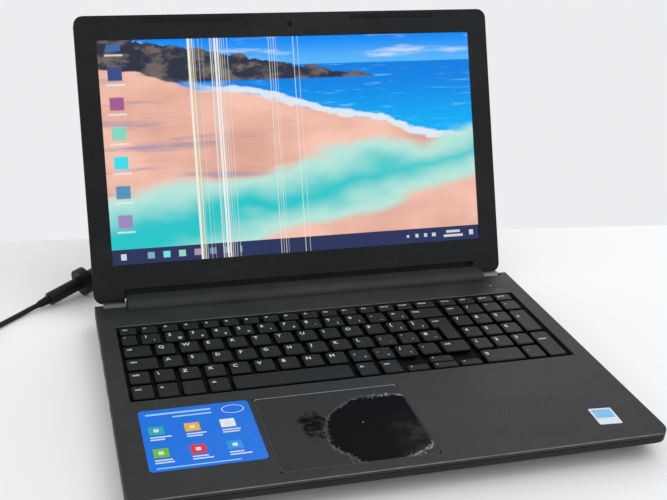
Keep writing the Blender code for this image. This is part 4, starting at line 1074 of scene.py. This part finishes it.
    def on_pad(self, surface: Surface, name: str, material: bpy.types.Material) -> None:
        """Make a surface a piece that moves with the touchpad."""
        surface.piece(name, self.local, material, Body.TOUCHPAD.value, Slot.PAD)

    def flat_patch(self, name: str, outline: np.ndarray, material: bpy.types.Material) -> None:
        """Add a thin flat patch just above the deck.

        Args:
            name: its name.
            outline: its x, y points, anticlockwise.
            material: its material.
        """
        surface = Surface()
        surface.slab(outline, self.thickness / 2, self.thickness)
        self.on_deck(surface, name, material)

    def bar(self, surface: Surface, left: float, right: float, front: float, rear: float, low: float) -> None:
        """Add a printed bar with slightly rounded corners to a surface."""
        surface.slab(rounded_ring(left, right, front, rear, 0.4, 2), low, low + self.lift)

    def sheet(self) -> None:
        """Add the blue sheet with its oval and its small coloured fields."""
        top = self.thickness
        blue = plain("sheet_blue", (0.0, 0.165, 0.74), 0.3)
        self.flat_patch("sheet", rounded_ring(*self.sheet_outline, 3.0), blue)
        marks = Surface()
        oval, half = np.array(self.oval), np.array(self.oval_half)
        marks.band(oval + circle(36) * half, oval + circle(36) * (half - self.oval_line), top + self.lift)
        colors = ((0.01, 0.42, 0.42), (0.85, 0.45, 0.02), (0.8, 0.82, 0.84), (0.16, 0.5, 0.02),
                  (0.75, 0.03, 0.04), (0.02, 0.3, 0.75))
        for index, color in enumerate(colors):
            left = self.sheet_left + self.pitch * (index % 3)
            front = 60.0 - self.pitch * (index // 3)
            square = Surface()
            self.bar(square, left, left + self.square, front + 5.5, front + 15.0, top)
            self.on_deck(square, f"sheet_square_{index}", plain(f"square_{index}", color))
            self.bar(marks, left + 3.5, left + 7.0, front + 8.5, front + 12.0, top + self.lift)
            self.bar(marks, left, left + 15.0 - index, front + 2.0, front + 3.3, top)
            self.bar(marks, left, left + 10.0 + index, front - 0.6, front + 0.7, top)
        self.on_deck(marks, "sheet_marks", plain("sheet_white", (0.7, 0.76, 0.82)))
        heads = Surface()
        self.bar(heads, self.sheet_left, -122.0, 88.0, 90.0, top)
        self.bar(heads, -150.0, -122.0, 83.6, 85.2, top)
        self.bar(heads, self.sheet_left, -112.0, 28.8, 29.8, top)
        self.on_deck(heads, "sheet_heads", plain("sheet_pale", (0.35, 0.62, 0.9)))

    def label(self) -> None:
        """Add the small pale label at the right, slightly turned, with a blue field."""
        turn = math.radians(self.label_turn)
        spin = np.array(((math.cos(turn), math.sin(turn)), (-math.sin(turn), math.cos(turn))))
        middle = np.array(self.label_middle)
        outer = rounded_ring(*self.label_outline, 1.0) @ spin + middle
        inner = rounded_ring(*self.label_field, 0.6) @ spin + middle
        self.flat_patch("label", outer, plain("label_white", (0.72, 0.76, 0.8)))
        blue = Surface()
        blue.slab(inner, self.thickness, self.thickness + self.lift)
        self.on_deck(blue, "label_field", plain("label_blue", (0.22, 0.5, 0.78)))

    def pad_marks(self) -> None:
        """Add the touchpad's division, the line round it with a painted highlight along its rear side, and
        its pale dot.
        """
        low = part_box("touchpad")[1][2] / MM - DECK_HEIGHT
        division, edge, dot = Surface(), Surface(), Surface()
        left, right, front, rear = self.division
        division.box((left, front, low), (right, rear, low + self.lift))
        self.on_pad(division, "pad_division", plain("division", (0.1, 0.1, 0.105)))
        left, right, front, rear = self.pad_outline
        rings = [rounded_ring(left + inset, right - inset, front + inset, rear - inset, 3.0)
                 for inset in (0.0, self.pad_line)]
        edge.band(*rings, low + self.lift / 2)
        # Painted highlight: the line round the pad is pale along its rear side and dark elsewhere.
        shade = Shade.new("pad_edge")
        _, y, _ = shade.split(shade.coordinates())
        far = shade.step(y, self.local.deep(92.0), self.local.deep(94.0))
        shade.set(Base_Color=shade.mix(far, (0.06, 0.061, 0.063), (0.5, 0.5, 0.5)), Roughness=0.35)
        self.on_pad(edge, "pad_edge", shade.material)
        left, right, front, rear = self.dot
        dot.box((left, front, low), (right, rear, low + self.lift))
        self.on_pad(dot, "pad_dot", plain("pad_dot", (0.7, 0.72, 0.72)))

    def status_light(self) -> None:
        """Add the small round light, which is off."""
        light = Surface()
        light.slab(self.light_radius * circle(12) + np.array(self.light), 0.0, self.lift)
        self.on_deck(light, "status_light", plain("status_light", (0.3, 0.32, 0.34), 0.2))

    def build(self) -> None:
        """Add everything on the deck."""
        frame["nodes"]["touchpad"].material_slots[0].material = self.worn_pad()
        self.sheet()
        self.label()
        self.pad_marks()
        self.status_light()


@dataclass(frozen=True)
class Fault:
    """One vertical fault line of the panel.

    Args:
        low: left edge as a share of the screen's width.
        high: right edge.
        color: the linear colour that it shows.
        strength: how much of the picture it covers.
    """

    low: float
    high: float
    color: tuple
    strength: float


FAULTS = (
    Fault(0.2275, 0.2335, (0.9, 0.9, 0.82), 0.95), Fault(0.2345, 0.237, (0.75, 0.62, 0.3), 0.8),
    Fault(0.239, 0.2415, (0.85, 0.87, 0.85), 0.85), Fault(0.244, 0.2462, (0.55, 0.6, 0.4), 0.7),
    Fault(0.2555, 0.2572, (0.75, 0.78, 0.76), 0.5), Fault(0.2655, 0.2668, (0.7, 0.72, 0.7), 0.35),
    Fault(0.2855, 0.2885, (0.8, 0.83, 0.84), 0.75), Fault(0.2905, 0.293, (0.6, 0.66, 0.7), 0.6),
    Fault(0.2962, 0.3015, (0.92, 0.92, 0.9), 0.92), Fault(0.3035, 0.308, (0.9, 0.9, 0.86), 0.88),
    Fault(0.3105, 0.3128, (0.7, 0.74, 0.76), 0.65), Fault(0.316, 0.3178, (0.78, 0.8, 0.8), 0.6),
    Fault(0.322, 0.3238, (0.7, 0.72, 0.66), 0.55), Fault(0.3302, 0.332, (0.75, 0.78, 0.78), 0.6),
    Fault(0.44, 0.4418, (0.85, 0.86, 0.8), 0.7), Fault(0.447, 0.4484, (0.8, 0.82, 0.75), 0.55),
    Fault(0.4535, 0.4552, (0.86, 0.88, 0.82), 0.7), Fault(0.46, 0.4614, (0.75, 0.78, 0.72), 0.5),
    Fault(0.506, 0.5078, (0.88, 0.88, 0.8), 0.75), Fault(0.5185, 0.52, (0.8, 0.82, 0.74), 0.6),
)


@dataclass
class Screen:
    """The lit picture of the lid with its fault lines, in shares u and v of its width and height.

    Args:
        local: the lid frame.
        half_width: half the picture's width.
        bottom: height of its lower edge.
        top: height of its upper edge.
        depth: how far it lies from the hinge axis, towards the lid's back.
        bar: the share of the height that the bar at the bottom takes.
        crest: slope and start of the ridge's crest, v = slope * u + start.
        shore: slope and start of the shore.
        course: slope and start of the lagoon's middle.
        width: slope and start of the lagoon's half width.
        column: left and right edge of the column of marks.
        column_span: its lower and upper end.
        column_count: how many marks would fill the whole height.
        row: lower and upper edge of the bar's marks.
        row_span: their left and right end.
        row_count: how many marks would fill the whole width.
        glow: the strength of the light that the picture gives.
    """

    local: Frame
    half_width: float = 172.1
    bottom: float = 37.5
    top: float = 231.0
    depth: float = 8.22
    bar: float = 0.068
    crest: tuple = (-0.3, 1.03)
    shore: tuple = (-0.4, 0.88)
    course: tuple = (0.33, 0.1)
    width: tuple = (-0.07, 0.175)
    column: tuple = (0.022, 0.058)
    column_span: tuple = (0.14, 0.98)
    column_count: float = 7.6
    row: tuple = (0.02, 0.049)
    row_span: tuple = (0.075, 0.335)
    row_count: float = 25.0
    glow: float = 0.96

    def coast(self, shade: Shade, place: Socket, fine: Socket) -> Socket:
        """Paint the sea, the sky and the dark ridge between them.

        Args:
            shade: the material.
            place: the picture's coordinates.
            fine: a fine noise around 0, which bends the crest.

        Returns:
            The colour.
        """
        u, v, _ = shade.split(place)
        water = shade.mix(shade.step(v, 0.5, 0.85), (0.0, 0.46, 0.97), (0.0, 0.22, 0.8))
        ripple = shade.step(shade.streaks(place, (9.0, 60.0, 1.0), 4.0, 0.6), 0.56, 0.7)
        water = shade.mix(shade.times(ripple, 0.45), water, (0.25, 0.7, 0.95))
        sky = shade.mix(shade.step(v, 0.87, 1.0), (0.1, 0.48, 0.98), (0.0, 0.26, 0.95))
        cloud = shade.step(shade.streaks(place, (3.0, 11.0, 1.0), 5.0), 0.5, 0.66)
        sky = shade.mix(shade.times(cloud, 0.7), sky, (0.85, 0.92, 0.98))
        view = shade.mix(shade.step(v, 0.868, 0.874), water, sky)
        crest = shade.plus(shade.line(u, *self.crest), shade.times(fine, 0.1))
        ridge = shade.times(shade.step(shade.minus(crest, v), 0.0, 0.006), shade.step(v, 0.8, 0.812))
        rock = shade.mix(shade.step(fine, -0.05, 0.12), (0.025, 0.032, 0.06), (0.17, 0.14, 0.13))
        return shade.mix(ridge, view, rock)

    def beach(self, shade: Shade, place: Socket, view: Socket, wobble: Socket, fine: Socket) -> Socket:
        """Lay the streaked sand and the surf over the view, below the shore.

        Args:
            shade: the material.
            place: the picture's coordinates.
            view: the colour so far.
            wobble: a broad noise around 0, which bends the shore.
            fine: a fine noise around 0, which bends the surf.

        Returns:
            The colour.
        """
        u, v, _ = shade.split(place)
        shore = shade.plus(shade.line(u, *self.shore), shade.times(wobble, 0.16))
        below = shade.minus(shore, v)
        sand = shade.mix(shade.step(wobble, -0.2, 0.16), (0.74, 0.39, 0.3), (0.98, 0.58, 0.47))
        streak = shade.step(shade.streaks(place, (2.2, 15.0, 1.0), 4.0, 0.6), 0.52, 0.68)
        streak = shade.times(streak, shade.under(u, 0.3, 0.6), 0.7)
        sand = shade.mix(streak, sand, (0.3, 0.27, 0.42))
        view = shade.mix(shade.step(below, -0.004, 0.004), view, sand)
        edge = shade.plus(below, shade.times(fine, 0.05))
        surf = shade.times(shade.inside(edge, -0.03, 0.004, 0.006), shade.step(u, 0.18, 0.34), 0.85)
        return shade.mix(surf, view, (0.86, 0.92, 0.95))

    def scenery(self, shade: Shade, place: Socket) -> Socket:
        """Paint the coast, the sand and a diagonal lagoon, whose colour deepens to its middle.

        Args:
            shade: the material.
            place: the picture's coordinates.

        Returns:
            The colour.
        """
        u, v, _ = shade.split(place)
        wobble = shade.minus(shade.noise(place, 3.2), 0.5)
        fine = shade.minus(shade.noise(place, 17.0, 5.0, 0.6), 0.5)
        view = self.beach(shade, place, self.coast(shade, place, fine), wobble, fine)
        course = shade.plus(shade.line(u, *self.course), shade.times(wobble, 0.3))
        away = shade.math("ABSOLUTE", shade.minus(v, course))
        depth = shade.minus(shade.line(u, *self.width), away)
        lagoon = shade.mix(shade.step(depth, 0.0, 0.15), (0.5, 0.82, 0.74), (0.02, 0.58, 0.6))
        return shade.mix(shade.step(depth, -0.05, 0.02), view, lagoon)

    def cells(self, shade: Shade, along: Socket, across: Socket, count: float, span: tuple,
              band: tuple) -> tuple:
        """Space marks evenly, each where the fraction of along * count is between 0.24 and 0.68.

        Args:
            shade: the material.
            along: the coordinate along the marks.
            across: the coordinate across them.
            count: how many marks there are in a unit.
            span: where the marks start and end.
            band: their two edges.

        Returns:
            The mask of the marks, and a random colour for each.
        """
        scaled = shade.times(along, count)
        mark = shade.inside(shade.math("FRACT", scaled), 0.24, 0.68, 0.03)
        mark = shade.times(mark, shade.inside(across, *band, 0.001), shade.inside(along, *span, 0.002))
        random = shade.node("ShaderNodeTexWhiteNoise", noise_dimensions="1D")
        shade.put(random.inputs["W"], shade.plus(shade.math("FLOOR", scaled), 3.37))
        vivid = shade.node("ShaderNodeGamma")
        vivid.inputs["Gamma"].default_value = 2.0
        shade.put(vivid.inputs["Color"], random.outputs["Color"])
        return mark, vivid.outputs["Color"]

    def column_marks(self, shade: Shade, place: Socket, view: Socket) -> Socket:
        """Lay a column of marks, each with a pale line under it, over the view.

        Args:
            shade: the material.
            place: the picture's coordinates.
            view: the colour so far.

        Returns:
            The colour.
        """
        u, v, _ = shade.split(place)
        mark, hue = self.cells(shade, v, u, self.column_count, self.column_span, self.column)
        view = shade.mix(mark, view, shade.mix(0.3, hue, (0.02, 0.22, 0.8)))
        title = shade.inside(shade.math("FRACT", shade.times(v, self.column_count)), 0.07, 0.13, 0.02)
        wide = shade.inside(u, 0.017, 0.063, 0.001)
        title = shade.times(title, wide, shade.inside(v, *self.column_span, 0.002), 0.75)
        return shade.mix(title, view, (0.85, 0.88, 0.9))

    def bar_marks(self, shade: Shade, place: Socket, view: Socket) -> Socket:
        """Lay the dark bar with its row of marks and its small pale ones over the view.

        Args:
            shade: the material.
            place: the picture's coordinates.
            view: the colour so far.

        Returns:
            The colour.
        """
        u, v, _ = shade.split(place)
        view = shade.mix(shade.under(v, self.bar - 0.001, self.bar + 0.001), view, (0.024, 0.034, 0.11))
        mark, hue = self.cells(shade, u, v, self.row_count, self.row_span, self.row)
        view = shade.mix(mark, view, shade.mix(0.5, hue, (0.3, 0.55, 0.8)))
        for left, right, low, high in (
            (0.022, 0.036, 0.02, 0.048), (0.905, 0.945, 0.038, 0.05), (0.897, 0.953, 0.018, 0.03),
            (0.79, 0.797, 0.028, 0.04), (0.815, 0.824, 0.026, 0.043), (0.84, 0.849, 0.026, 0.043),
            (0.863, 0.874, 0.026, 0.043), (0.972, 0.984, 0.022, 0.046),
        ):
            box = shade.times(shade.inside(u, left, right, 0.0006), shade.inside(v, low, high, 0.001), 0.8)
            view = shade.mix(box, view, (0.8, 0.84, 0.9))
        return view

    def picture(self) -> bpy.types.Material:
        """Write the panel's lit material: scenery, marks, bar and the fault lines.

        Returns:
            The material.
        """
        shade = Shade.new("panel_picture")
        place = shade.coordinates("UV")
        u, _, _ = shade.split(place)
        view = self.column_marks(shade, place, self.scenery(shade, place))
        view = self.bar_marks(shade, place, view)
        for fault in FAULTS:
            line = shade.times(shade.inside(u, fault.low, fault.high, 0.00035), fault.strength)
            view = shade.mix(line, view, fault.color)
        shade.set(Base_Color=(0.002, 0.002, 0.002), Roughness=0.32, Specular_IOR_Level=0.12)
        return shade.set(Emission_Color=view, Emission_Strength=self.glow)

    def build(self) -> None:
        """Lay the lit plane just in front of the panel."""
        wide = self.half_width
        corners = np.array([(-wide, self.depth, self.bottom), (wide, self.depth, self.bottom),
                            (wide, self.depth, self.top), (-wide, self.depth, self.top)])
        surface = Surface()
        surface.add(corners, [(0, 1, 2, 3)])
        plane = surface.piece("screen_picture", self.local, self.picture(), Body.LID.value, Slot.SCREEN)
        layer = plane.data.uv_layers.new(name="picture")
        layer.data.foreach_set("uv", [0.0, 0.0, 1.0, 0.0, 1.0, 1.0, 0.0, 1.0])


def ease(values: np.ndarray) -> np.ndarray:
    """Return 3 s ** 2 - 2 s ** 3, with s the values held between 0 and 1."""
    share = np.clip(values, 0.0, 1.0)
    return share * share * (3 - 2 * share)


@dataclass
class Leads:
    """The tail at the power inlet and the charger's lead with its coil, as smooth round curves.

    Args:
        local: the base frame.
        finishes: the scene's materials.
        tail_radius: radius of the tail.
        lead_radius: radius of the charger's lead.
        inlet: where the tail leaves its plug.
        socket: a point on the axis of the in-line socket.
        grip: a second point on that axis, on the charger's plug.
        tail_from_socket: where the tail enters the socket, along the axis from its first point.
        lead_from_socket: where the lead leaves the plug, along the same axis.
        tail_route: the tail's points from the socket to the inlet.
        lead_route: the lead's points from the plug to the coil.
        end_route: the lead's points from the coil to the charger.
        centre: the coil's middle.
        floor: height of the lead where it lies on the table.
        middle: radius of the middle column of the coil's bundle.
        cells: column and row of each cell of the bundle, in the order that the lead takes them.
        entry_angle: where the lead comes into the coil, in degrees.
        entry_radius: its radius there.
        exit_radius: its radius where it leaves.
        travel: how far it turns in all, in degrees.
        merge: how far it turns from its entry to its first cell.
        first_shift: where the first change of cell starts.
        shift_every: how far it turns from one change to the next.
        shift: how far it turns during a change.
        leave: how far before the end it starts for its last radius, and how far it turns meanwhile.
        drop: how far before the end it starts down to the table.
        step: the turn between two points of the coil.
        tie_angle: where the coil's tie is, in degrees.
        tie_half_width: half the tie's width along the lead.
        tie_outside: the tie's half depth and its lower and upper edge, outside.
        tie_inside: the same inside.
        tail_spacing: how far apart the tail's points lie.
        lead_spacing: how far apart the lead's points lie before and after the coil.
    """

    local: Frame
    finishes: Finishes
    tail_radius: float = 2.0
    lead_radius: float = 2.25
    inlet: tuple = (-129.0, 296.9, -14.4)
    socket: tuple = (-197.0, 320.0, -8.0)
    grip: tuple = (-231.0, 301.1, -15.2)
    tail_from_socket: float = 28.3
    lead_from_socket: float = -48.6
    tail_route: tuple = (
        (-163, 338.4, -2.7), (-152, 339.8, -5.5), (-141, 335, -10.5), (-133, 324, -14), (-129.3, 310, -15),
    )
    lead_route: tuple = (
        (-246, 292.7, -18.1), (-258, 283, -19.1), (-270.8, 271.2, -19.1), (-284, 258.3, -19.1),
        (-298, 246.2, -19.1), (-310, 239.6, -19.1),
    )
    end_route: tuple = ((-357.9, 272, -19.1), (-357.7, 288, -18.6), (-357.6, 303.5, -17.5))
    centre: tuple = (-321.0, 275.0)
    floor: float = -19.1
    middle: float = 27.0
    cells: tuple = ((1, 0), (0, 0), (-1, 0), (-1, 1), (-1, 2), (0, 2), (0, 1), (1, 1), (1, 2))
    entry_angle: float = 287.3
    entry_radius: float = 37.07
    exit_radius: float = 36.95
    travel: float = 2982.7
    merge: float = 60.0
    first_shift: float = 330.0
    shift_every: float = 315.0
    shift: float = 45.0
    leave: tuple = (105.0, 50.0)
    drop: float = 72.0
    step: float = 18.0
    tie_angle: float = 62.0
    tie_half_width: float = 1.6
    tie_outside: tuple = (7.7, -21.45, -7.3)
    tie_inside: tuple = (7.0, -21.38, -7.75)
    tail_spacing: float = 5.0
    lead_spacing: float = 8.0

    def along(self, distance: float) -> tuple:
        """Return a point on the axis of the socket and the charger's plug."""
        socket, grip = np.array(self.socket), np.array(self.grip)
        return tuple(socket + (socket - grip) / np.linalg.norm(socket - grip) * distance)

    def smooth(self, route: list, spacing: float) -> np.ndarray:
        """Draw a Catmull-Rom curve through a route.

        From p1 to p2 the curve is half of 2 p1 + (p2 - p0) t + (2 p0 - 5 p1 + 4 p2 - p3) t ** 2
        + (3 p1 - p0 - 3 p2 + p3) t ** 3, with t from 0 to 1.

        Args:
            route: the points that it passes.
            spacing: about how far apart the returned points lie.

        Returns:
            Evenly spaced points of the curve.
        """
        places = np.array(route, float)
        places = np.vstack([2 * places[0] - places[1], places, 2 * places[-1] - places[-2]])
        count = len(places) - 3
        p0, p1, p2, p3 = (places[index:index + count, None] for index in range(4))
        t = np.linspace(0.0, 1.0, 20, endpoint=False)[:, None]
        fine = 0.5 * (2 * p1 + (p2 - p0) * t + (2 * p0 - 5 * p1 + 4 * p2 - p3) * t ** 2
                      + (3 * p1 - p0 - 3 * p2 + p3) * t ** 3)
        line = np.vstack([fine.reshape(-1, 3), places[-2]])
        travelled = np.concatenate([[0.0], np.cumsum(np.linalg.norm(np.diff(line, axis=0), axis=1))])
        wanted = np.linspace(0.0, travelled[-1], max(3, round(travelled[-1] / spacing) + 1))
        return np.stack([np.interp(wanted, travelled, line[:, axis]) for axis in range(3)], axis=1)

    def coil(self) -> np.ndarray:
        """Wind the coil clockwise, at a radius and a height that change as the lead turns.

        Nine cells of a 3 by 3 bundle are taken in turn. Each change of cell comes a little
        earlier in its turn than the last, so no two turns meet.

        Returns:
            The coil's points.
        """
        travel = np.linspace(0.0, self.travel, round(self.travel / self.step) + 1)[1:-1]
        cells = np.array(self.cells, float)
        starts = self.first_shift + self.shift_every * np.arange(len(cells) - 1)
        shares = ease((travel[:, None] - starts) / self.shift)
        column, row = (cells[0] + shares @ np.diff(cells, axis=0)).T
        radius = self.middle + 2 * self.lead_radius * column
        height = self.floor + 2 * self.lead_radius * row
        radius += (self.entry_radius - radius) * ease(1.0 - travel / self.merge)
        before, turn = self.leave
        radius += (self.exit_radius - radius) * ease((travel - self.travel + before) / turn)
        height += (self.floor - height) * ease((travel - self.travel + self.drop) / self.drop)
        angle = np.radians(self.entry_angle - travel)
        x = self.centre[0] + radius * np.cos(angle)
        y = self.centre[1] + radius * np.sin(angle)
        return np.column_stack([x, y, height])

    def curve(self, name: str, points: np.ndarray, radius: float) -> tuple:
        """Make a round curve.

        Args:
            name: its name.
            points: what it passes, in the base frame.
            radius: its radius.

        Returns:
            The object and its length in metres.
        """
        places = self.local.points(points)
        data = bpy.data.curves.new(name, "CURVE")
        data.dimensions = "3D"
        data.bevel_depth = radius * MM
        data.bevel_resolution = 4
        data.resolution_u = 4
        data.use_fill_caps = True
        spline = data.splines.new("BEZIER")
        spline.bezier_points.add(len(places) - 1)
        spline.bezier_points.foreach_set("co", places.ravel())
        for knot in spline.bezier_points:
            knot.handle_left_type = "AUTO"
            knot.handle_right_type = "AUTO"
        data.materials.append(self.finishes["cord"])
        made = bpy.data.objects.new(name, data)
        bpy.context.scene.collection.objects.link(made)
        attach(made, Body.BASE.value)
        bpy.context.view_layer.update()
        length = spline.calc_length()
        LOG.info("made %s, %.3f m long", name, length)
        return made, length

    def tie(self) -> bpy.types.Object:
        """Add the band round the coil's bundle, two nested boxes that are open along the lead.

        Returns:
            The band.
        """
        angle = math.radians(self.tie_angle)
        outward = np.array((math.cos(angle), math.sin(angle), 0.0))
        sideways = np.array((-math.sin(angle), math.cos(angle), 0.0))
        centre = np.array((*self.centre, 0.0)) + outward * self.middle
        rings = []
        for half, low, high in (self.tie_outside, self.tie_inside):
            corners = ((-half, low), (half, low), (half, high), (-half, high))
            for side in (self.tie_half_width, -self.tie_half_width):
                rings.append([centre + outward * x + sideways * side + (0, 0, z) for x, z in corners])
        faces = []
        for index in range(4):
            after = (index + 1) % 4
            faces += [(index, after, 4 + after, 4 + index), (8 + index, 12 + index, 12 + after, 8 + after),
                      (index, 8 + index, 8 + after, after), (4 + index, 4 + after, 12 + after, 12 + index)]
        surface = Surface()
        surface.add(np.concatenate(rings), faces)
        return surface.piece("coil_tie", self.local, self.finishes["rubber"], Body.BASE.value, Slot.RUBBER)

    def build(self) -> None:
        nodes = frame["nodes"]
        route = [self.inlet, *reversed(self.tail_route), self.along(self.tail_from_socket)]
        points = self.smooth(route, self.tail_spacing)
        tail, length = self.curve("tail_cord", points, self.tail_radius)
        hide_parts("tail_lead")
        start = self.local.point(*points[0])
        carried = [nodes["inlet_plug"], nodes["inline_socket"]]
        near = self.smooth([self.along(self.lead_from_socket), *self.lead_route], self.lead_spacing)
        points = np.vstack([near, self.coil(), self.smooth(self.end_route, self.lead_spacing)])
        lead, length = self.curve("charger_cord", points, self.lead_radius)
        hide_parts("charger_lead", "lead_coil", "lead_end")
        start = self.local.point(*points[0])
        carried = [nodes["charger_plug"], nodes["charger_brick"], self.tie()]


@dataclass
class Sockets:
    """The metal edges of the side sockets and the tongues inside them.

    Args:
        local: the base frame.
        finishes: the scene's materials.
        edge: how far from the base's middle the bright edge of a socket starts.
        recess: how far a tongue ends behind the socket's opening.
        thick_tongue: half width, underside and top of a data socket's tongue.
        thin_tongue: half width, underside and top of the video socket's tongue.
    """

    local: Frame
    finishes: Finishes
    edge: float = 187.5
    recess: float = 1.4
    thick_tongue: tuple = (5.0, 2.9, 4.6)
    thin_tongue: tuple = (4.6, 2.2, 3.0)

    def edged(self) -> bpy.types.Material:
        """Write the sockets' material: metal at the opening and dark behind it.

        Returns:
            The material.
        """
        shade = Shade.new("socket_shell")
        x, _, _ = shade.split(shade.coordinates())
        edge = shade.step(shade.math("ABSOLUTE", x), (self.edge - 0.3) * MM, (self.edge + 0.3) * MM)
        color = shade.mix(edge, (0.012, 0.012, 0.013), (0.42, 0.42, 0.42))
        return shade.set(Base_Color=color, Roughness=0.35, Metallic=shade.times(edge, 0.8))

    def tongue(self, node: str, half: float, low: float, high: float) -> None:
        """Add a tongue from the back of a socket.

        Args:
            node: the socket's CAD node.
            half: half the tongue's width.
            low: its underside, over the socket's bottom.
            high: its top, over the socket's bottom.
        """
        near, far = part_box(node)
        side = 1.0 if near[0] > 0 else -1.0
        inner = min(abs(near[0]), abs(far[0])) / MM
        outer = max(abs(near[0]), abs(far[0])) / MM - self.recess
        middle = ((near[1] + far[1]) / 2 - self.local.deep(0.0)) / MM
        bottom = near[2] / MM - DECK_HEIGHT
        left, right = sorted((side * inner, side * outer))
        surface = Surface()
        surface.box((left, middle - half, bottom + low), (right, middle + half, bottom + high))
        surface.piece(f"{node}_tongue", self.local, self.finishes["tongue"], Body.BASE.value, Slot.PORT)

    def build(self) -> None:
        """Give the sockets their edges and tongues."""
        shell = self.edged()
        data = ("usb_port_left_rear", "usb_port_left_front", "usb_port_right")
        for node in ("ethernet_port", "hdmi_port", "audio_jack", *data):
            frame["nodes"][node].material_slots[0].material = shell
        for node in data:
            self.tongue(node, *self.thick_tongue)
        self.tongue("hdmi_port", *self.thin_tongue)


@dataclass
class Studio:
    """The camera, the pale table and the soft lights, in metres in the row frame.

    Args:
        centre: where the camera is.
        azimuth: from which side it looks, in degrees from the front.
        elevation: from how high it looks, in degrees.
        roll: its turn about its own axis, in degrees.
        lens: its focal length in millimetres, on a sensor 36 mm wide.
        shift: how far its picture is shifted, in widths.
        table_reach: how far the table reaches to the front and to each side.
        table_edge: where its rear edge crosses the middle.
        table_slope: the slope of that edge.
    """

    centre: tuple = (-0.225566, -0.636521, 0.405313)
    azimuth: float = -13.905
    elevation: float = 26.321
    roll: float = 1.77
    lens: float = 50.146
    shift: tuple = (0.1172, 0.0268)
    table_reach: float = 3.0
    table_edge: float = 0.234
    table_slope: float = -0.11

    def camera(self) -> None:
        """Make the camera from its azimuth, elevation and roll."""
        azimuth, elevation = math.radians(self.azimuth), math.radians(self.elevation)
        roll = math.radians(self.roll)
        flat = math.cos(elevation)
        back = Vector((math.sin(azimuth) * flat, -math.cos(azimuth) * flat, math.sin(elevation)))
        level_right = Vector((0, 0, 1)).cross(back).normalized()
        level_up = back.cross(level_right)
        right = level_right * math.cos(roll) + level_up * math.sin(roll)
        up = level_up * math.cos(roll) - level_right * math.sin(roll)
        data = bpy.data.cameras.new("camera")
        data.lens = self.lens
        data.sensor_width = 36.0
        data.sensor_fit = "HORIZONTAL"
        data.shift_x, data.shift_y = self.shift
        data.clip_start = 0.01
        made = bpy.data.objects.new("camera", data)
        turn = Matrix((right, up, back)).transposed().to_4x4()
        made.matrix_world = Matrix.Translation(self.centre) @ turn
        bpy.context.scene.collection.objects.link(made)
        bpy.context.scene.camera = made

    def table(self) -> None:
        """Lay the white table, which ends just behind the laptop along a slightly turned edge."""
        shade = Shade.new("table_white")
        cloud = shade.noise(shade.coordinates(), 2.5)
        shade.set(Base_Color=shade.mix(cloud, (0.915, 0.915, 0.912), (0.935, 0.935, 0.93)), Roughness=0.6)
        reach = self.table_reach
        left_rear = self.table_edge - self.table_slope * reach
        right_rear = self.table_edge + self.table_slope * reach
        corners = [(-reach, -reach, 0.0), (reach, -reach, 0.0), (reach, right_rear, 0.0),
                   (-reach, left_rear, 0.0)]
        mesh = bpy.data.meshes.new("table")
        mesh.from_pydata(corners, [], [(0, 1, 2, 3)])
        mesh.materials.append(shade.material)
        made = bpy.data.objects.new("table", mesh)
        bpy.context.scene.collection.objects.link(made)

    def lamp(self, name: str, place: tuple, target: tuple, size: float, power: float) -> None:
        """Add a square soft light.

        Args:
            name: its name.
            place: where it is.
            target: what it looks at.
            size: its side.
            power: its power in watts.
        """
        data = bpy.data.lights.new(name, "AREA")
        data.shape = "SQUARE"
        data.size = size
        data.energy = power
        made = bpy.data.objects.new(name, data)
        made.location = place
        made.rotation_euler = (Vector(target) - Vector(place)).to_track_quat("-Z", "Y").to_euler()
        bpy.context.scene.collection.objects.link(made)

    def surroundings(self) -> None:
        """Set the even pale light all round and the view transform."""
        world = bpy.data.worlds.new("surroundings")
        world.use_nodes = True
        background = world.node_tree.nodes["Background"]
        background.inputs["Color"].default_value = (0.8, 0.81, 0.83, 1.0)
        background.inputs["Strength"].default_value = 1.05
        bpy.context.scene.world = world
        bpy.context.scene.view_settings.view_transform = "Standard"

    def build(self) -> None:
        """Make the table and the lights."""
        self.table()
        self.surroundings()
        self.lamp("key_light", (0.9, -0.3, 1.5), (0.0, 0.0, 0.0), 1.1, 4.5)
        self.lamp("fill_light", (-1.2, -0.9, 1.1), (0.0, 0.0, 0.05), 0.9, 0.6)
        self.lamp("rear_light", (0.6, 1.5, 0.9), (0.15, -0.1, 0.0), 0.9, 3.5)


ROUNDED = (
    "bottom_case", "palm_rest", "lid_cover", "screen_bezel", "touchpad", "power_button", "disc_tray",
    "battery_pack", "hinge_arm_left", "hinge_arm_right", "lid_bumper_left", "lid_bumper_right",
)


def dress(finishes: Finishes) -> None:
    """Give every CAD node its finish from the record's slots, and the case's edges a small rounding.

    Args:
        finishes: the scene's materials.
    """
    for name, node in frame["nodes"].items():
        slot = node_slot(name)
        if slot in FINISHES:
            node.material_slots[0].material = finishes[slot]
    frame["nodes"]["palm_rest"].material_slots[0].material = deck_material(FINISHES["deck"], base_frame())
    for name in ROUNDED:
        edge = frame["nodes"][name].modifiers.new("edge", "BEVEL")
        edge.width = CASE_ROUNDING * MM
        edge.segments = 2
        edge.limit_method = "ANGLE"
        edge.angle_limit = math.radians(CASE_EDGE_ANGLE)


def node_slot(name: str) -> str:
    """Look a CAD node up in the record.

    Args:
        name: the node's name.

    Returns:
        Its material slot, or nothing for a node that has none.
    """
    for entry in frame["record"]["subparts"]:
        if entry["node"] == name:
            return entry["material_slot"]
    return ""


def main() -> None:
    """Build the scene."""
    logging.basicConfig(level=logging.INFO, format="%(message)s")
    base, lid = base_frame(), lid_frame()
    finishes = Finishes()
    studio = Studio()
    studio.camera()
    dress(finishes)
    Leads(base, finishes).build()
    Screen(lid).build()
    Keyboard(base, finishes).build()
    Deck(base).build()
    Sockets(base, finishes).build()
    studio.build()


if __name__ == "__main__":
    main()
